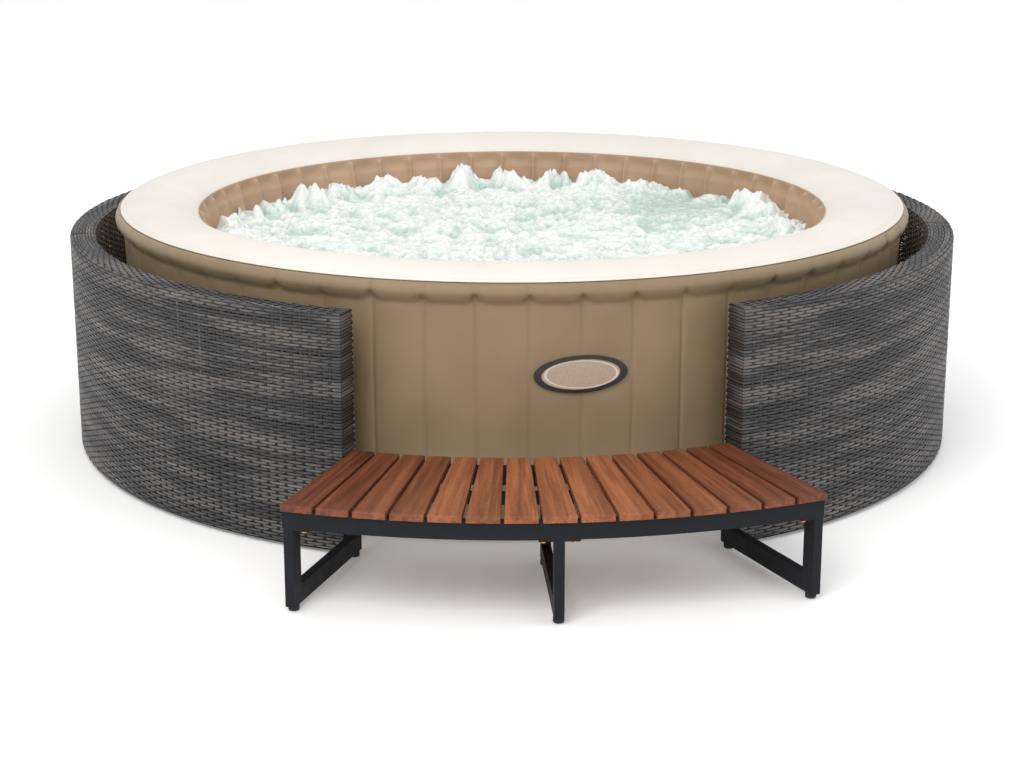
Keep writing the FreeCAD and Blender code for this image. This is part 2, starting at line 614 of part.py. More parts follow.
# ---- woven surround -------------------------------------------------------------------
def panel_section():
    """Section of a panel: upright faces and a flat top with rounded edges."""
    edge = PANEL_EDGE
    bend = edge * (1 - math.sqrt(0.5))
    inside, outside, top = PANEL_INSIDE, PANEL_OUTSIDE, PANEL_HEIGHT
    return section((inside, PANEL_GROUND_GAP), [(inside, top - edge)],
                   [(inside + bend, top - bend), (inside + edge, top)],
                   [(outside - edge, top)],
                   [(outside - bend, top - bend), (outside, top - edge)],
                   [(outside, PANEL_GROUND_GAP)])


def post_azimuths(start, end):
    """Azimuths of a panel's posts, the end ones against its end skins."""
    inset = math.degrees((WEAVE + FRAME_FIT + FRAME_TUBE / 2) / FRAME_INSIDE)
    step = (end - start - 2 * inset) / (POSTS_PER_PANEL - 1)
    return [start + inset + i * step for i in range(POSTS_PER_PANEL)]


def bolt_heights():
    return (JOIN_BOLT_INSET, PANEL_HEIGHT - JOIN_BOLT_INSET)


def bolt_holes():
    """Cutters for the bolts that join neighbouring panels."""
    radius = JOIN_BOLT_RADIUS + BOLT_CLEARANCE
    reach = 2 * FRAME_TUBE + WEAVE
    cutters = []
    for azimuth in PANEL_JOINTS:
        for height in bolt_heights():
            start = Vector(-reach, -PANEL_MIDDLE, height)
            cutters.append(turned(Part.makeCylinder(radius, 2 * reach, start, ASIDE), azimuth))
    return cutters


def woven_bays(skin, seams):
    """The woven skin in bays that meet at its posts."""
    around = rectangle(PANEL_INSIDE - PAST, PANEL_OUTSIDE + PAST, 0, PANEL_HEIGHT + PAST)
    bays = [skin.common(swept(around, a, b)) for a, b in zip(seams[:-1], seams[1:])]
    return Part.makeCompound([solid for bay in bays for solid in bay.Solids])


def frame_hollows(start, end, rail_bottoms, azimuths):
    """Cutters for the insides of a frame's tubes, which run into each other."""
    wall = FRAME_TUBE_WALL
    inside, outside = FRAME_INSIDE + wall, FRAME_OUTSIDE - wall
    low, high = rail_bottoms
    cutters = [swept(rectangle(inside, outside, bottom + wall, bottom + FRAME_TUBE - wall), start, end)
               for bottom in rail_bottoms]
    post = block(FRAME_TUBE - 2 * wall, inside, outside, low + wall, high + FRAME_TUBE - wall)
    return cutters + [turned(post, azimuth) for azimuth in azimuths]


def make_panels():
    top_rail = PANEL_HEIGHT - WEAVE - FRAME_FIT
    rail_bottoms = (PANEL_GROUND_GAP, top_rail - FRAME_TUBE)
    end_skin = math.degrees(WEAVE / PANEL_INSIDE)
    end_fit = math.degrees((WEAVE + FRAME_FIT) / PANEL_INSIDE)
    stem_radius = GLIDE_STEM_RADIUS + BOLT_CLEARANCE
    stem_top = PANEL_GROUND_GAP + GLIDE_STEM_LENGTH
    holes = bolt_holes()
    glides = []
    for name, (start, end) in PANELS.items():
        hollow = rectangle(PANEL_INSIDE + WEAVE, PANEL_OUTSIDE - WEAVE, PANEL_GROUND_GAP - PAST,
                           PANEL_HEIGHT - WEAVE)
        skin = swept(panel_section(), start, end)
        skin = skin.cut(swept(hollow, start + end_skin, end - end_skin)).cut(holes)
        azimuths = post_azimuths(start, end)
        save(woven_bays(skin, [start] + azimuths[1:-1] + [end]), "woven_panel_" + name)

        rails = [swept(rectangle(FRAME_INSIDE, FRAME_OUTSIDE, bottom, bottom + FRAME_TUBE),
                       start + end_fit, end - end_fit)
                 for bottom in rail_bottoms]
        post = block(FRAME_TUBE, FRAME_INSIDE, FRAME_OUTSIDE, PANEL_GROUND_GAP, top_rail)
        stem_hole = upright_rod(stem_radius, PANEL_MIDDLE, 0, stem_top + BOLT_CLEARANCE)
        frame = fused(rails + [turned(post, azimuth) for azimuth in azimuths])
        frame = frame.cut(frame_hollows(start, end, rail_bottoms, azimuths))
        frame = frame.cut(holes + [turned(stem_hole, azimuth) for azimuth in azimuths])
        save(frame, "panel_frame_" + name)

        glide = upright_rod(GLIDE_RADIUS, PANEL_MIDDLE, 0, PANEL_GROUND_GAP)
        glide = glide.fuse(upright_rod(GLIDE_STEM_RADIUS, PANEL_MIDDLE, 0, stem_top))
        glides += [turned(glide.removeSplitter(), azimuth) for azimuth in azimuths]
    save(Part.makeCompound(glides), "panel_glides")


def make_panel_bolts():
    grip = WEAVE + 3 * FRAME_FIT + FRAME_TUBE + PANEL_JOINT
    half = grip + JOIN_HEAD_THICK
    bolts = []
    for azimuth in PANEL_JOINTS:
        for height in bolt_heights():
            shank = Part.makeCylinder(JOIN_BOLT_RADIUS, 2 * half,
                                      Vector(-half, -PANEL_MIDDLE, height), ASIDE)
            heads = [Part.makeCylinder(JOIN_HEAD_RADIUS, JOIN_HEAD_THICK,
                                       Vector(x, -PANEL_MIDDLE, height), ASIDE)
                     for x in (-half, grip)]
            bolts.append(turned(fused([shank] + heads), azimuth))
    save(Part.makeCompound(bolts), "panel_joining_bolts")


# ---- step -------------------------------------------------------------------------------
APRON_MIDDLE = APRON_FRONT - STEP_TUBE / 2
REAR_RAIL_MIDDLE = REAR_RAIL_BACK + STEP_TUBE / 2
FRONT_FOOT = APRON_FRONT - LEG_DEPTH / 2
REAR_FOOT = REAR_RAIL_BACK + LEG_DEPTH / 2


def slat_azimuth(index):
    return (index + 0.5) * SLAT_ARC - STEP_HALF_ARC


def leg_bolt_places():
    """Radius, azimuth and sideways shift of each bolt that holds a leg."""
    places = []
    for name, azimuth in LEGS.items():
        sides = {"left": (1,), "centre": (-1, 1), "right": (-1,)}[name]
        for side in sides:
            for radius in (APRON_MIDDLE, REAR_RAIL_MIDDLE):
                places.append((radius, azimuth, side * LEG_BOLT_OFFSET))
    return places


def screw_cutters(clearance):
    """Slat screws, or their holes when given a clearance."""
    cutters = []
    for index in range(SLAT_COUNT):
        for radius in (APRON_MIDDLE, REAR_RAIL_MIDDLE):
            bottom = FRAME_BOTTOM + 2 * BOLT_CLEARANCE - 2 * clearance
            head_top = FRAME_BOTTOM + SCREW_HEAD_THICK + clearance
            tip = FRAME_TOP + SCREW_BITE + clearance
            shank = upright_rod(SCREW_RADIUS + clearance, radius, bottom, tip)
            head = upright_rod(SCREW_HEAD_RADIUS + clearance, radius, bottom, head_top)
            cutters.append(turned(fused([shank, head]), slat_azimuth(index)))
    return cutters


def make_slats():
    def half_width(radius):
        return radius * math.tan(math.radians(SLAT_ARC / 2)) - SLAT_GAP / 2

    back, front = half_width(STEP_BACK), half_width(STEP_FRONT)
    corners = [Vector(-back, -STEP_BACK, FRAME_TOP), Vector(back, -STEP_BACK, FRAME_TOP),
               Vector(front, -STEP_FRONT, FRAME_TOP), Vector(-front, -STEP_FRONT, FRAME_TOP)]
    slat = Part.Face(Part.makePolygon(corners + corners[:1])).extrude(UP * SLAT_THICK)
    eased = [edge for edge in slat.Edges if edge.BoundBox.ZMax > FRAME_TOP + SLAT_EDGE]
    slat = slat.makeFillet(SLAT_EDGE, eased)
    for radius in (APRON_MIDDLE, REAR_RAIL_MIDDLE):
        pilot = upright_rod(SCREW_RADIUS + BOLT_CLEARANCE, radius, FRAME_TOP - PAST,
                            FRAME_TOP + SCREW_BITE + BOLT_CLEARANCE)
        slat = slat.cut(pilot)
    for index in range(SLAT_COUNT):
        save(turned(slat, slat_azimuth(index)), "step_slat_%02d" % (index + 1))
    save(Part.makeCompound(screw_cutters(0.0)), "slat_screws")


def make_step_frame():
    mid = (APRON_MIDDLE + REAR_RAIL_MIDDLE) / 2
    half = APRON_HALF_ARC
    apron = rectangle(APRON_FRONT - STEP_TUBE, APRON_FRONT, FRAME_BOTTOM, FRAME_TOP)
    rear = rectangle(REAR_RAIL_BACK, REAR_RAIL_BACK + STEP_TUBE, FRAME_BOTTOM, FRAME_TOP)
    middle = rectangle(mid - STEP_TUBE / 2, mid + STEP_TUBE / 2, FRAME_TOP - MID_RAIL_HEIGHT,
                       FRAME_TOP)
    pieces = [swept(apron, -half, half), swept(rear, -half, half),
              swept(middle, -SIDE_RAIL_AZIMUTH, SIDE_RAIL_AZIMUTH)]
    rail = block(STEP_TUBE, REAR_RAIL_MIDDLE, APRON_MIDDLE, FRAME_BOTTOM, FRAME_TOP)
    pieces += [turned(rail, azimuth) for azimuth in LEGS.values()]
    hole_top = FRAME_BOTTOM - LEG_PLATE + LEG_BOLT_LENGTH + BOLT_CLEARANCE
    holes = [turned(upright_rod(LEG_BOLT_RADIUS + BOLT_CLEARANCE, radius, FRAME_BOTTOM - PAST,
                                hole_top, shift), azimuth)
             for radius, azimuth, shift in leg_bolt_places()]
    save(fused(pieces).cut(holes + screw_cutters(BOLT_CLEARANCE)), "step_frame")


def leg(sides):
    """Sled leg: two uprights on a bottom rail, with bolting plates on top."""
    front, back = APRON_FRONT, REAR_RAIL_BACK
    pieces = [
        block(STEP_TUBE, front - LEG_DEPTH, front, LEG_BOTTOM, FRAME_BOTTOM),
        block(STEP_TUBE, back, back + LEG_DEPTH, LEG_BOTTOM, FRAME_BOTTOM),
        block(STEP_TUBE, back, front, LEG_BOTTOM, LEG_BOTTOM + STEP_TUBE_HEIGHT),
    ]
    cutters = []
    for side in sides:
        for middle in (APRON_MIDDLE, REAR_RAIL_MIDDLE):
            pieces.append(block(LEG_PLATE_REACH, middle - STEP_TUBE / 2, middle + STEP_TUBE / 2,
                                FRAME_BOTTOM - LEG_PLATE, FRAME_BOTTOM,
                                side * LEG_PLATE_REACH / 2))
            cutters.append(upright_rod(LEG_BOLT_RADIUS + BOLT_CLEARANCE, middle,
                                       FRAME_BOTTOM - 2 * LEG_PLATE, FRAME_BOTTOM + PAST,
                                       side * LEG_BOLT_OFFSET))
    for radius in (FRONT_FOOT, REAR_FOOT):
        top = FOOT_HEIGHT + STUD_LENGTH + STUD_HOLE_EXTRA
        cutters.append(upright_rod(STUD_RADIUS + BOLT_CLEARANCE, radius, 0, top))
    return fused(pieces).cut(cutters)


def make_legs():
    for name, azimuth in LEGS.items():
        sides = {"left": (1,), "centre": (-1, 1), "right": (-1,)}[name]
        save(turned(leg(sides), azimuth), "step_leg_" + name)
    bolt_bottom = FRAME_BOTTOM - LEG_PLATE
    bolts = []
    for radius, azimuth, shift in leg_bolt_places():
        shank = upright_rod(LEG_BOLT_RADIUS, radius, bolt_bottom, bolt_bottom + LEG_BOLT_LENGTH,
                            shift)
        head = upright_rod(LEG_HEAD_RADIUS, radius, bolt_bottom - LEG_HEAD_THICK, bolt_bottom,
                           shift)
        bolts.append(turned(fused([shank, head]), azimuth))
    save(Part.makeCompound(bolts), "leg_bolts")


def make_feet():
    for row, radius in (("front", FRONT_FOOT), ("rear", REAR_FOOT)):
        pad = upright_rod(FOOT_RADIUS, radius, 0, FOOT_HEIGHT)
        pad = pad.makeFillet(FOOT_EDGE, [edge for edge in pad.Edges if edge.BoundBox.ZMax < 1])
        foot = pad.fuse(upright_rod(STUD_RADIUS, radius, FOOT_HEIGHT / 2,
                                    FOOT_HEIGHT + STUD_LENGTH)).removeSplitter()
        for name, azimuth in LEGS.items():
            save(turned(foot, azimuth), "step_foot_%s_%s" % (row, name))


os.makedirs("parts", exist_ok=True)
make_skins()
make_webs()
make_bubble_channel()
make_badge()
make_ports()
make_filter()
make_strainer()
make_inflation_valve()
make_drain()
make_panels()
make_panel_bolts()
make_slats()
make_step_frame()
make_legs()
make_feet()
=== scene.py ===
# %% [markdown]
# # Dressing an inflatable hot tub, its woven surround and its curved step
# A round tub of coated fabric is held up by air. Around it stands a surround of flat resin strands
# woven over steel frames, and in the surround's opening stands a hardwood step on steel legs.
# A finished CAD model comes first, as a fixed frame. It has every size, every joint and every hidden
# piece, and this file only adds looks: it gives the hard pieces better materials, and replaces the
# soft and woven pieces with detailed meshes in the same places.

# %% Load the frame
import math

import bpy
import numpy as np
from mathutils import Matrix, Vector, noise


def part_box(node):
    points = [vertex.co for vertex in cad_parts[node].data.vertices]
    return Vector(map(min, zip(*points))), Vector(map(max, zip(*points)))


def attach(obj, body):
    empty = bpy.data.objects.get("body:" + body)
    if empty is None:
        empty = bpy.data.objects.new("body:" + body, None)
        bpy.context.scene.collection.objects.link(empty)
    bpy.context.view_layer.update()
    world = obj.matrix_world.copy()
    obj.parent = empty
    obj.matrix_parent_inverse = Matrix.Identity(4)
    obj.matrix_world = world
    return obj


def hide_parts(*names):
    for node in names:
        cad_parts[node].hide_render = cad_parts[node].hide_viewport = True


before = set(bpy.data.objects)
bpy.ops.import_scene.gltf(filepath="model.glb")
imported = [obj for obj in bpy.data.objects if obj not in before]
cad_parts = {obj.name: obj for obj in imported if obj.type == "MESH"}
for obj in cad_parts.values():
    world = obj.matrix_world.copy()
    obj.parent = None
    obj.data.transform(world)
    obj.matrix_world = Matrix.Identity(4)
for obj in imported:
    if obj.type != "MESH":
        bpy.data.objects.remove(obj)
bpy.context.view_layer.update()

# %% [markdown]
# ## Reading sizes from the frame
# The object is round, so its natural measures are a radius, an azimuth and a height. Azimuth is the
# angle about the tub's axis, in degrees, from the front towards +X. A CAD node's vertices already
# hold its place, so its reach in those three measures is one small calculation.

# %% Radius, azimuth and height
def polar_of(node):
    """Radius, azimuth and height of each vertex of a CAD node."""
    points = np.array([v.co[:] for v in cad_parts[node].data.vertices])
    x, y, z = points.T
    return np.hypot(x, y), np.degrees(np.arctan2(x, -y)), z


def place(radius, azimuth, height):
    """Points from arrays of radius, azimuth and height."""
    angle = np.radians(azimuth)
    return np.stack(np.broadcast_arrays(radius * np.sin(angle), -radius * np.cos(angle), height), axis=-1)


def smooth(value, low, high):
    """0 below low, 1 above high, and an eased step between them."""
    share = np.clip((value - low) / (high - low), 0, 1)
    return share * share * (3 - 2 * share)


TUB_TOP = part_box("tub_top_ring")[1].z
ROLL_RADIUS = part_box("tub_outer_wall")[1].x
FLOOR_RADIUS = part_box("tub_floor")[1].x
WALL_RADIUS = FLOOR_RADIUS + 0.030
RIM_RADIUS = polar_of("tub_top_ring")[0].min()
BATH_RADIUS = polar_of("tub_inner_wall")[0].min()
print("tub top %.3f roll %.3f wall %.3f rim %.3f bath %.3f"
      % (TUB_TOP, ROLL_RADIUS, WALL_RADIUS, RIM_RADIUS, BATH_RADIUS))

# %% [markdown]
# ## Camera
# A product picture of something this large is taken from a few metres away with a longish lens, so
# that the round tub isn't stretched. The camera stands a little to the left of the step, above eye
# level for a seated person, and looks down at the water.

# %% Camera
CAMERA_DISTANCE = 5.728
CAMERA_HEIGHT = 1.7105
CAMERA_AZIMUTH = -3.7
CAMERA_PITCH = 15.75
LENS = 73.4

camera_data = bpy.data.cameras.new("camera")
camera_data.lens = LENS
camera_data.sensor_width = 36
camera = bpy.data.objects.new("camera", camera_data)
camera.location = place(CAMERA_DISTANCE, CAMERA_AZIMUTH, CAMERA_HEIGHT)
camera.rotation_euler = (math.radians(90 - CAMERA_PITCH), 0, math.radians(CAMERA_AZIMUTH))
bpy.context.scene.collection.objects.link(camera)
bpy.context.scene.camera = camera
print("camera at", [round(c, 3) for c in camera.location])

# %% [markdown]
# ## Light
# The object has no strong shadows: a white room, one large soft light above the camera and a little
# to the left, a weaker one from the right, and a third high over the rear. Area lights do that, and
# a white world fills the rest.
# The "Standard" view keeps the cream fabric and the white floor as bright as they are.

# %% Light
LIT_POINT = Vector((0, 0, 0.4))        # where the lights look: the tub's middle


def soft_light(name, azimuth, distance, height, size, power, colour):
    """Square area light that looks at the tub."""
    data = bpy.data.lights.new(name, "AREA")
    data.size = size
    data.energy = power
    data.color = colour
    light = bpy.data.objects.new(name, data)
    light.location = place(distance, azimuth, height)
    light.rotation_euler = (LIT_POINT - light.location).to_track_quat("-Z", "Y").to_euler()
    bpy.context.scene.collection.objects.link(light)
    return light


KEY_POWER, FILL_POWER, TOP_POWER = 98, 30, 22
soft_light("key_light", azimuth=-20, distance=4.2, height=3.6, size=2.4, power=KEY_POWER,
           colour=(1.0, 0.985, 0.96))
soft_light("fill_light", azimuth=62, distance=5.0, height=2.6, size=3.0, power=FILL_POWER,
           colour=(0.95, 0.975, 1.0))
soft_light("top_light", azimuth=170, distance=1.6, height=4.4, size=3.2, power=TOP_POWER,
           colour=(1.0, 1.0, 1.0))

WORLD_BRIGHTNESS = 0.87
world = bpy.data.worlds.new("white_room")
world.use_nodes = True
world.node_tree.nodes["Background"].inputs["Color"].default_value = (1, 1, 1, 1)
world.node_tree.nodes["Background"].inputs["Strength"].default_value = WORLD_BRIGHTNESS
bpy.context.scene.world = world
bpy.context.scene.view_settings.view_transform = "Standard"
print("lights", KEY_POWER, FILL_POWER, TOP_POWER, "W, room", WORLD_BRIGHTNESS)

# %% [markdown]
# ## How materials are made here
# Every finish is a small network of nodes on the Principled shader: noise for colour, a ramp to
# choose the colours, and a bump for what is too fine to model. The helpers below add nodes and
# wire their inputs, so that each material reads like a recipe. A number that is the same all over
# a piece is set on the shader's own socket.

# %% Shader and nodes
def finish_named(name, roughness=0.5, **constants):
    """New material. A constant such as Sheen_Weight=0.1 is set on the socket Sheen Weight."""
    material = bpy.data.materials.new(name)
    material.use_nodes = True
    shader = material.node_tree.nodes["Principled BSDF"]
    shader.inputs["Roughness"].default_value = roughness
    for socket, value in constants.items():
        shader.inputs[socket.replace("_", " ")].default_value = value
    return material, material.node_tree, shader


def add(tree, kind, settings=None, **inputs):
    """One node. An input is a constant or another node's output socket."""
    node = tree.nodes.new("ShaderNode" + kind)
    for key, value in (settings or {}).items():
        setattr(node, key, value)
    for key, value in inputs.items():
        socket = node.inputs[int(key[1:])] if key[1:].isdigit() else node.inputs[key]
        if isinstance(value, bpy.types.NodeSocket):
            tree.links.new(value, socket)
        else:
            socket.default_value = value
    return node


def wire(tree, shader, colour, normal=None, roughness=None):
    """Join the sockets that vary over a piece to its shader."""
    for socket, source in (("Base Color", colour), ("Normal", normal), ("Roughness", roughness)):
        if source is not None:
            tree.links.new(source, shader.inputs[socket])


print("shader helpers ready")

# %% [markdown]
# ## Arithmetic on surfaces
# Between the noise and the shader stands plain arithmetic: several patterns are added with a
# weight each, and a ramp turns the sum into a colour or a gloss. A weighted sum is what most
# finishes need, so it has a helper of its own.

# %% Sums and ramps
def calc(tree, operation, first, second=0.0):
    """Math on two numbers or sockets."""
    return add(tree, "Math", {"operation": operation}, _0=first, _1=second).outputs[0]


def weighted(tree, *parts):
    """Sum of (socket, weight) parts."""
    total = None
    for socket, weight in parts:
        term = calc(tree, "MULTIPLY", socket, weight)
        total = term if total is None else calc(tree, "ADD", total, term)
    return total


def ramp(tree, factor, *stops):
    """Colour ramp through (position, colour) stops."""
    node = add(tree, "ValToRGB", _0=factor)
    elements = node.color_ramp.elements
    while len(elements) < len(stops):
        elements.new(0.5)
    for element, (position, colour) in zip(elements, stops):
        element.position = position
        element.color = (*colour, 1)
    return node.outputs["Color"]


def gloss(tree, factor, low, high):
    """Roughness that runs from one (position, value) to another."""
    return ramp(tree, factor, *((position, (value,) * 3) for position, value in (low, high)))


print("arithmetic ready")

# %% [markdown]
# ## Noise, relief and coordinates
# Noise is the grain, the cloud and the fleck of every finish here. It is read in metres, from the
# piece's own coordinates or from its UV, so it stays on the piece when the piece moves.

# %% Noise and coordinates
def grain(tree, vector, scale, detail=2.0, roughness=0.5, distortion=0.0):
    """Noise value, about 0.5 on average."""
    return add(tree, "TexNoise", Vector=vector, Scale=scale, Detail=detail, Roughness=roughness,
               Distortion=distortion).outputs[0]


def turned_to_front(tree, azimuth):
    """Object coordinates, turned so that a piece at this azimuth lies in front."""
    return add(tree, "VectorRotate", {"rotation_type": "Z_AXIS"}, Vector=where(tree),
               Angle=-math.radians(azimuth)).outputs[0]


def bump(tree, height, distance, strength=1.0):
    """Normal from a height in metres times distance."""
    return add(tree, "Bump", Height=height, Distance=distance, Strength=strength).outputs[0]


def where(tree):
    """Coordinates in metres, in the object's own frame."""
    return add(tree, "TexCoord").outputs["Object"]


def strand_sockets(tree):
    """From the UV of a woven piece: metres along a strand, its row, and the row's whole number."""
    strand_uv = add(tree, "SeparateXYZ", Vector=add(tree, "TexCoord").outputs["UV"])
    along, row = strand_uv.outputs[0], strand_uv.outputs[1]
    return along, row, calc(tree, "FLOOR", row)


def flat_place(tree, first, first_scale, second, second_scale):
    """Coordinates from two sockets with a scale each, which stretches noise into streaks."""
    return add(tree, "CombineXYZ", X=calc(tree, "MULTIPLY", first, first_scale),
               Y=calc(tree, "MULTIPLY", second, second_scale)).outputs[0]


print("noise helpers ready")

# %% [markdown]
# ## How meshes are made here
# Nearly all the soft and woven pieces are grids of points, worked out with arrays and handed to
# Blender in one go. That is fast enough for two million triangles, and each grid closes on itself,
# so that a piece is a solid skin with a front and a back.

# %% Mesh helpers
def link(mesh, name, material):
    """New object that shows a mesh with one material."""
    piece = bpy.data.objects.new(name, mesh)
    bpy.context.scene.collection.objects.link(piece)
    mesh.materials.append(material)
    return piece


def mesh_of(name, points, faces, uv=None):
    """Smooth mesh from points and quads. uv has one pair for each point."""
    mesh = bpy.data.meshes.new(name)
    faces = np.asarray(faces, dtype=np.int32)
    mesh.vertices.add(len(points))
    mesh.vertices.foreach_set("co", np.asarray(points, dtype=np.float32).ravel())
    mesh.loops.add(faces.size)
    mesh.loops.foreach_set("vertex_index", faces.ravel())
    mesh.polygons.add(len(faces))
    mesh.polygons.foreach_set("loop_start", np.arange(0, faces.size, faces.shape[1], dtype=np.int32))
    mesh.polygons.foreach_set("use_smooth", np.ones(len(faces), dtype=bool))
    if uv is not None:
        layer = mesh.uv_layers.new(name="UVMap")
        layer.data.foreach_set("uv", np.asarray(uv, dtype=np.float32)[faces.ravel()].ravel())
    mesh.update(calc_edges=True)
    mesh.validate()
    return mesh


def grid_faces(rows, columns, wrap_columns=False, wrap_rows=False):
    """Quads of one grid of points, which may close on itself either way."""
    index = np.arange(rows * columns).reshape(rows, columns)
    if wrap_columns:
        index = np.concatenate([index, index[:, :1]], axis=1)
    if wrap_rows:
        index = np.concatenate([index, index[:1]], axis=0)
    a, b = index[:-1, :-1], index[:-1, 1:]
    c, d = index[1:, 1:], index[1:, :-1]
    return np.stack([a, b, c, d], axis=-1).reshape(-1, 4)


print("mesh helpers ready")

# %% [markdown]
# ## The floor
# It isn't part of the object. It is plain, pale and a little rough, so that the feet have something
# to stand on and cast a soft shadow. A studio's white sweep is lit by lamps of its own, which a
# little glow of the floor itself stands for, so that it stays white far behind the tub.

# %% Floor
FLOOR_HALF = 14.0
FLOOR_GLOW = 0.15
floor_finish, tree, shader = finish_named("pale_floor", 0.85)
tint = ramp(tree, grain(tree, where(tree), 1.3), (0.3, (0.95, 0.95, 0.95)), (0.7, (0.98, 0.98, 0.98)))
wire(tree, shader, tint)
shader.inputs["Emission Color"].default_value = (1, 1, 1, 1)
shader.inputs["Emission Strength"].default_value = FLOOR_GLOW
corners = [(-FLOOR_HALF, -FLOOR_HALF, -0.001), (FLOOR_HALF, -FLOOR_HALF, -0.001),
           (FLOOR_HALF, FLOOR_HALF, -0.001), (-FLOOR_HALF, FLOOR_HALF, -0.001)]
floor = link(mesh_of("floor", corners, [[0, 1, 2, 3]]), "floor", floor_finish)
print("floor", FLOOR_HALF * 2, "m square")

# %% [markdown]
# ## Colours and hand-over
# A colour is easier to judge as display values from 0 to 255, and Blender wants it linear. Each
# finished piece is handed over the same way: it rides on its body and hides the plain CAD nodes
# that it stands for.

# %% Colours and hand-over
def shade(red, green, blue):
    """Linear colour from three display values, 0 to 255."""
    values = (channel / 255 for channel in (red, green, blue))
    return tuple(v / 12.92 if v <= 0.04045 else ((v + 0.055) / 1.055) ** 2.4 for v in values)


def stand_for(piece, body, slot, *nodes):
    """Ride the piece on its body and hide the CAD nodes that it stands for. The slot is not used."""
    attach(piece, body)
    if nodes:
        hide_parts(*nodes)


def dress(node, material):
    """Give a CAD node a better material."""
    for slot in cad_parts[node].material_slots:
        slot.material = material


print("white", shade(255, 255, 255), "mid grey", shade(128, 128, 128)[0])

# %% [markdown]
# ## Woven panels: the section and the plan
# A real panel is woven by hand: upright stakes are stretched over the frame, and a flat resin
# strand goes over one stake and under the next, row after row, and round the panel's two ends.
# A bump map on a flat wall would look printed, so each strand is a real ribbon here. The rows are
# laid along the panel's section, which goes up the outer face, over the top and down the inside.

# %% Section of a panel
STRAND_WIDTH = 0.0068
STRAND_THICK = 0.0011
ROW_PITCH = 0.00745
STAKE_PITCH = 0.0250
STAKE_WIDTH = 0.0085
WEAVE_SWING = 0.0018           # how far a strand goes out over a stake and in behind it
WEAVE_DEPTH = 0.0032           # middle of the weave, under the panel's outer surface
EDGE_ROUND = 0.008
END_CORNER = 0.007
FOOT_ROW = 0.005               # bottom of a panel to its lowest row
PANEL_NAMES = ("front_left", "front_right", "rear_left", "rear_right")


def panel_limits(name):
    """Inside and outside radius, start and end azimuth, bottom and top of a panel."""
    radius, azimuth, height = polar_of("woven_panel_" + name)
    return radius.min(), radius.max(), azimuth.min(), azimuth.max(), height.min(), height.max()


def panel_section(limits):
    """Radius, height, outward and upward along the weave's middle, and the run to each of them."""
    inside, outside, _, _, bottom, top = limits
    turn = np.linspace(0, math.pi / 2, 5)
    bend = EDGE_ROUND - WEAVE_DEPTH
    sine, cosine = np.sin(turn), np.cos(turn)
    outer_edge = np.stack([outside - EDGE_ROUND + bend * cosine, top - EDGE_ROUND + bend * sine,
                           cosine, sine], axis=1)
    inner_edge = np.stack([inside + EDGE_ROUND - bend * sine, top - EDGE_ROUND + bend * cosine,
                           -sine, cosine], axis=1)
    outer_foot = np.array([[outside - WEAVE_DEPTH, bottom + FOOT_ROW, 1, 0]])
    inner_foot = np.array([[inside + WEAVE_DEPTH, bottom + FOOT_ROW, -1, 0]])
    table = np.concatenate([outer_foot, outer_edge, inner_edge, inner_foot])
    steps = np.hypot(*np.diff(table[:, :2], axis=0).T)
    return table, np.concatenate([[0], np.cumsum(steps)])


def along_section(section, run):
    """Radius, height, outward and upward at a run."""
    table, runs = section
    return [np.interp(run, runs, column) for column in table.T]


for panel_name in PANEL_NAMES:
    print(panel_name, ["%.3f" % value for value in panel_limits(panel_name)])

# %% [markdown]
# ## Woven panels: over and under
# Along a row the strand lies out over a stake, stays out, and dips behind the next stake. The dip
# is short, because the stakes are narrow. Rows next to each other dip at opposite stakes. Six
# points for each pair of stakes are enough for that wave once the ribbon is shaded smooth. The
# ribbon itself has a crowned face, so that each strand catches the light along its middle.

# %% Strand wave
DIP_PLACES = (-0.46, -0.22, 0.0, 0.22, 0.46)     # in stake pitches from the hidden stake
DIP_HEIGHTS = (1.0, 0.1, -1.0, 0.1, 1.0)
PLAIN_PLACES = (-0.42, 0.0, 0.42)
PLAIN_HEIGHTS = (0.8, -1.0, 0.8)


def strand_wave(stakes, parity, fine):
    """Places in stake pitches, and out-or-in heights, of one row between its end stakes."""
    dip, swing = (DIP_PLACES, DIP_HEIGHTS) if fine else (PLAIN_PLACES, PLAIN_HEIGHTS)
    places, heights = [], []
    for stake in range(stakes + 1):
        if (stake + parity) % 2 and 0 < stake < stakes:
            places += [stake + shift for shift in dip]
            heights += swing
        else:
            places.append(float(stake))
            heights.append(1.0)
    return np.array(places), np.array(heights)


print("points in a row of 50 stakes:", len(strand_wave(50, 0, True)[0]))

# %% [markdown]
# ## One ribbon
# A strand is a flat band with a crowned face: five points round its section are enough for that
# once it is shaded smooth. The stakes are the same ribbon, only wider and straight.

# %% Ribbon
def ribbon_section(width, thick):
    """Across and outward places round a flat strand with a crowned face."""
    half = width / 2
    return (np.array([-half, -0.45 * half, 0.45 * half, half, 0.0]),
            np.array([0.0, 0.5 * thick, 0.5 * thick, 0.0, -0.5 * thick]))


def ribbon(base, out, across, swing, width, thick):
    """Points of one closed ribbon along a line of base points."""
    side, rise = ribbon_section(width, thick)
    lift = swing[:, None] + rise[None, :]
    return base[:, None, :] + out[:, None, :] * lift[..., None] + across[:, None, :] * side[None, :, None]


def capped_ribbon_faces(length, around=5):
    """Quads of one ribbon's sides, and of the crowned half of its two ends."""
    last = (length - 1) * around
    caps = np.array([[3, 2, 1, 0], [last, last + 1, last + 2, last + 3]])
    return grid_faces(length, around, wrap_columns=True), caps


print("quads in a ribbon of 10 points:", len(capped_ribbon_faces(10)[0]))

# %% [markdown]
# ## Woven panels: the ends of a row
# A row of the outer face goes on round the two ends of the panel, where it lies flat. The points
# of that tail turn round the panel's upright corner, and the last one reaches nearly to the inside.

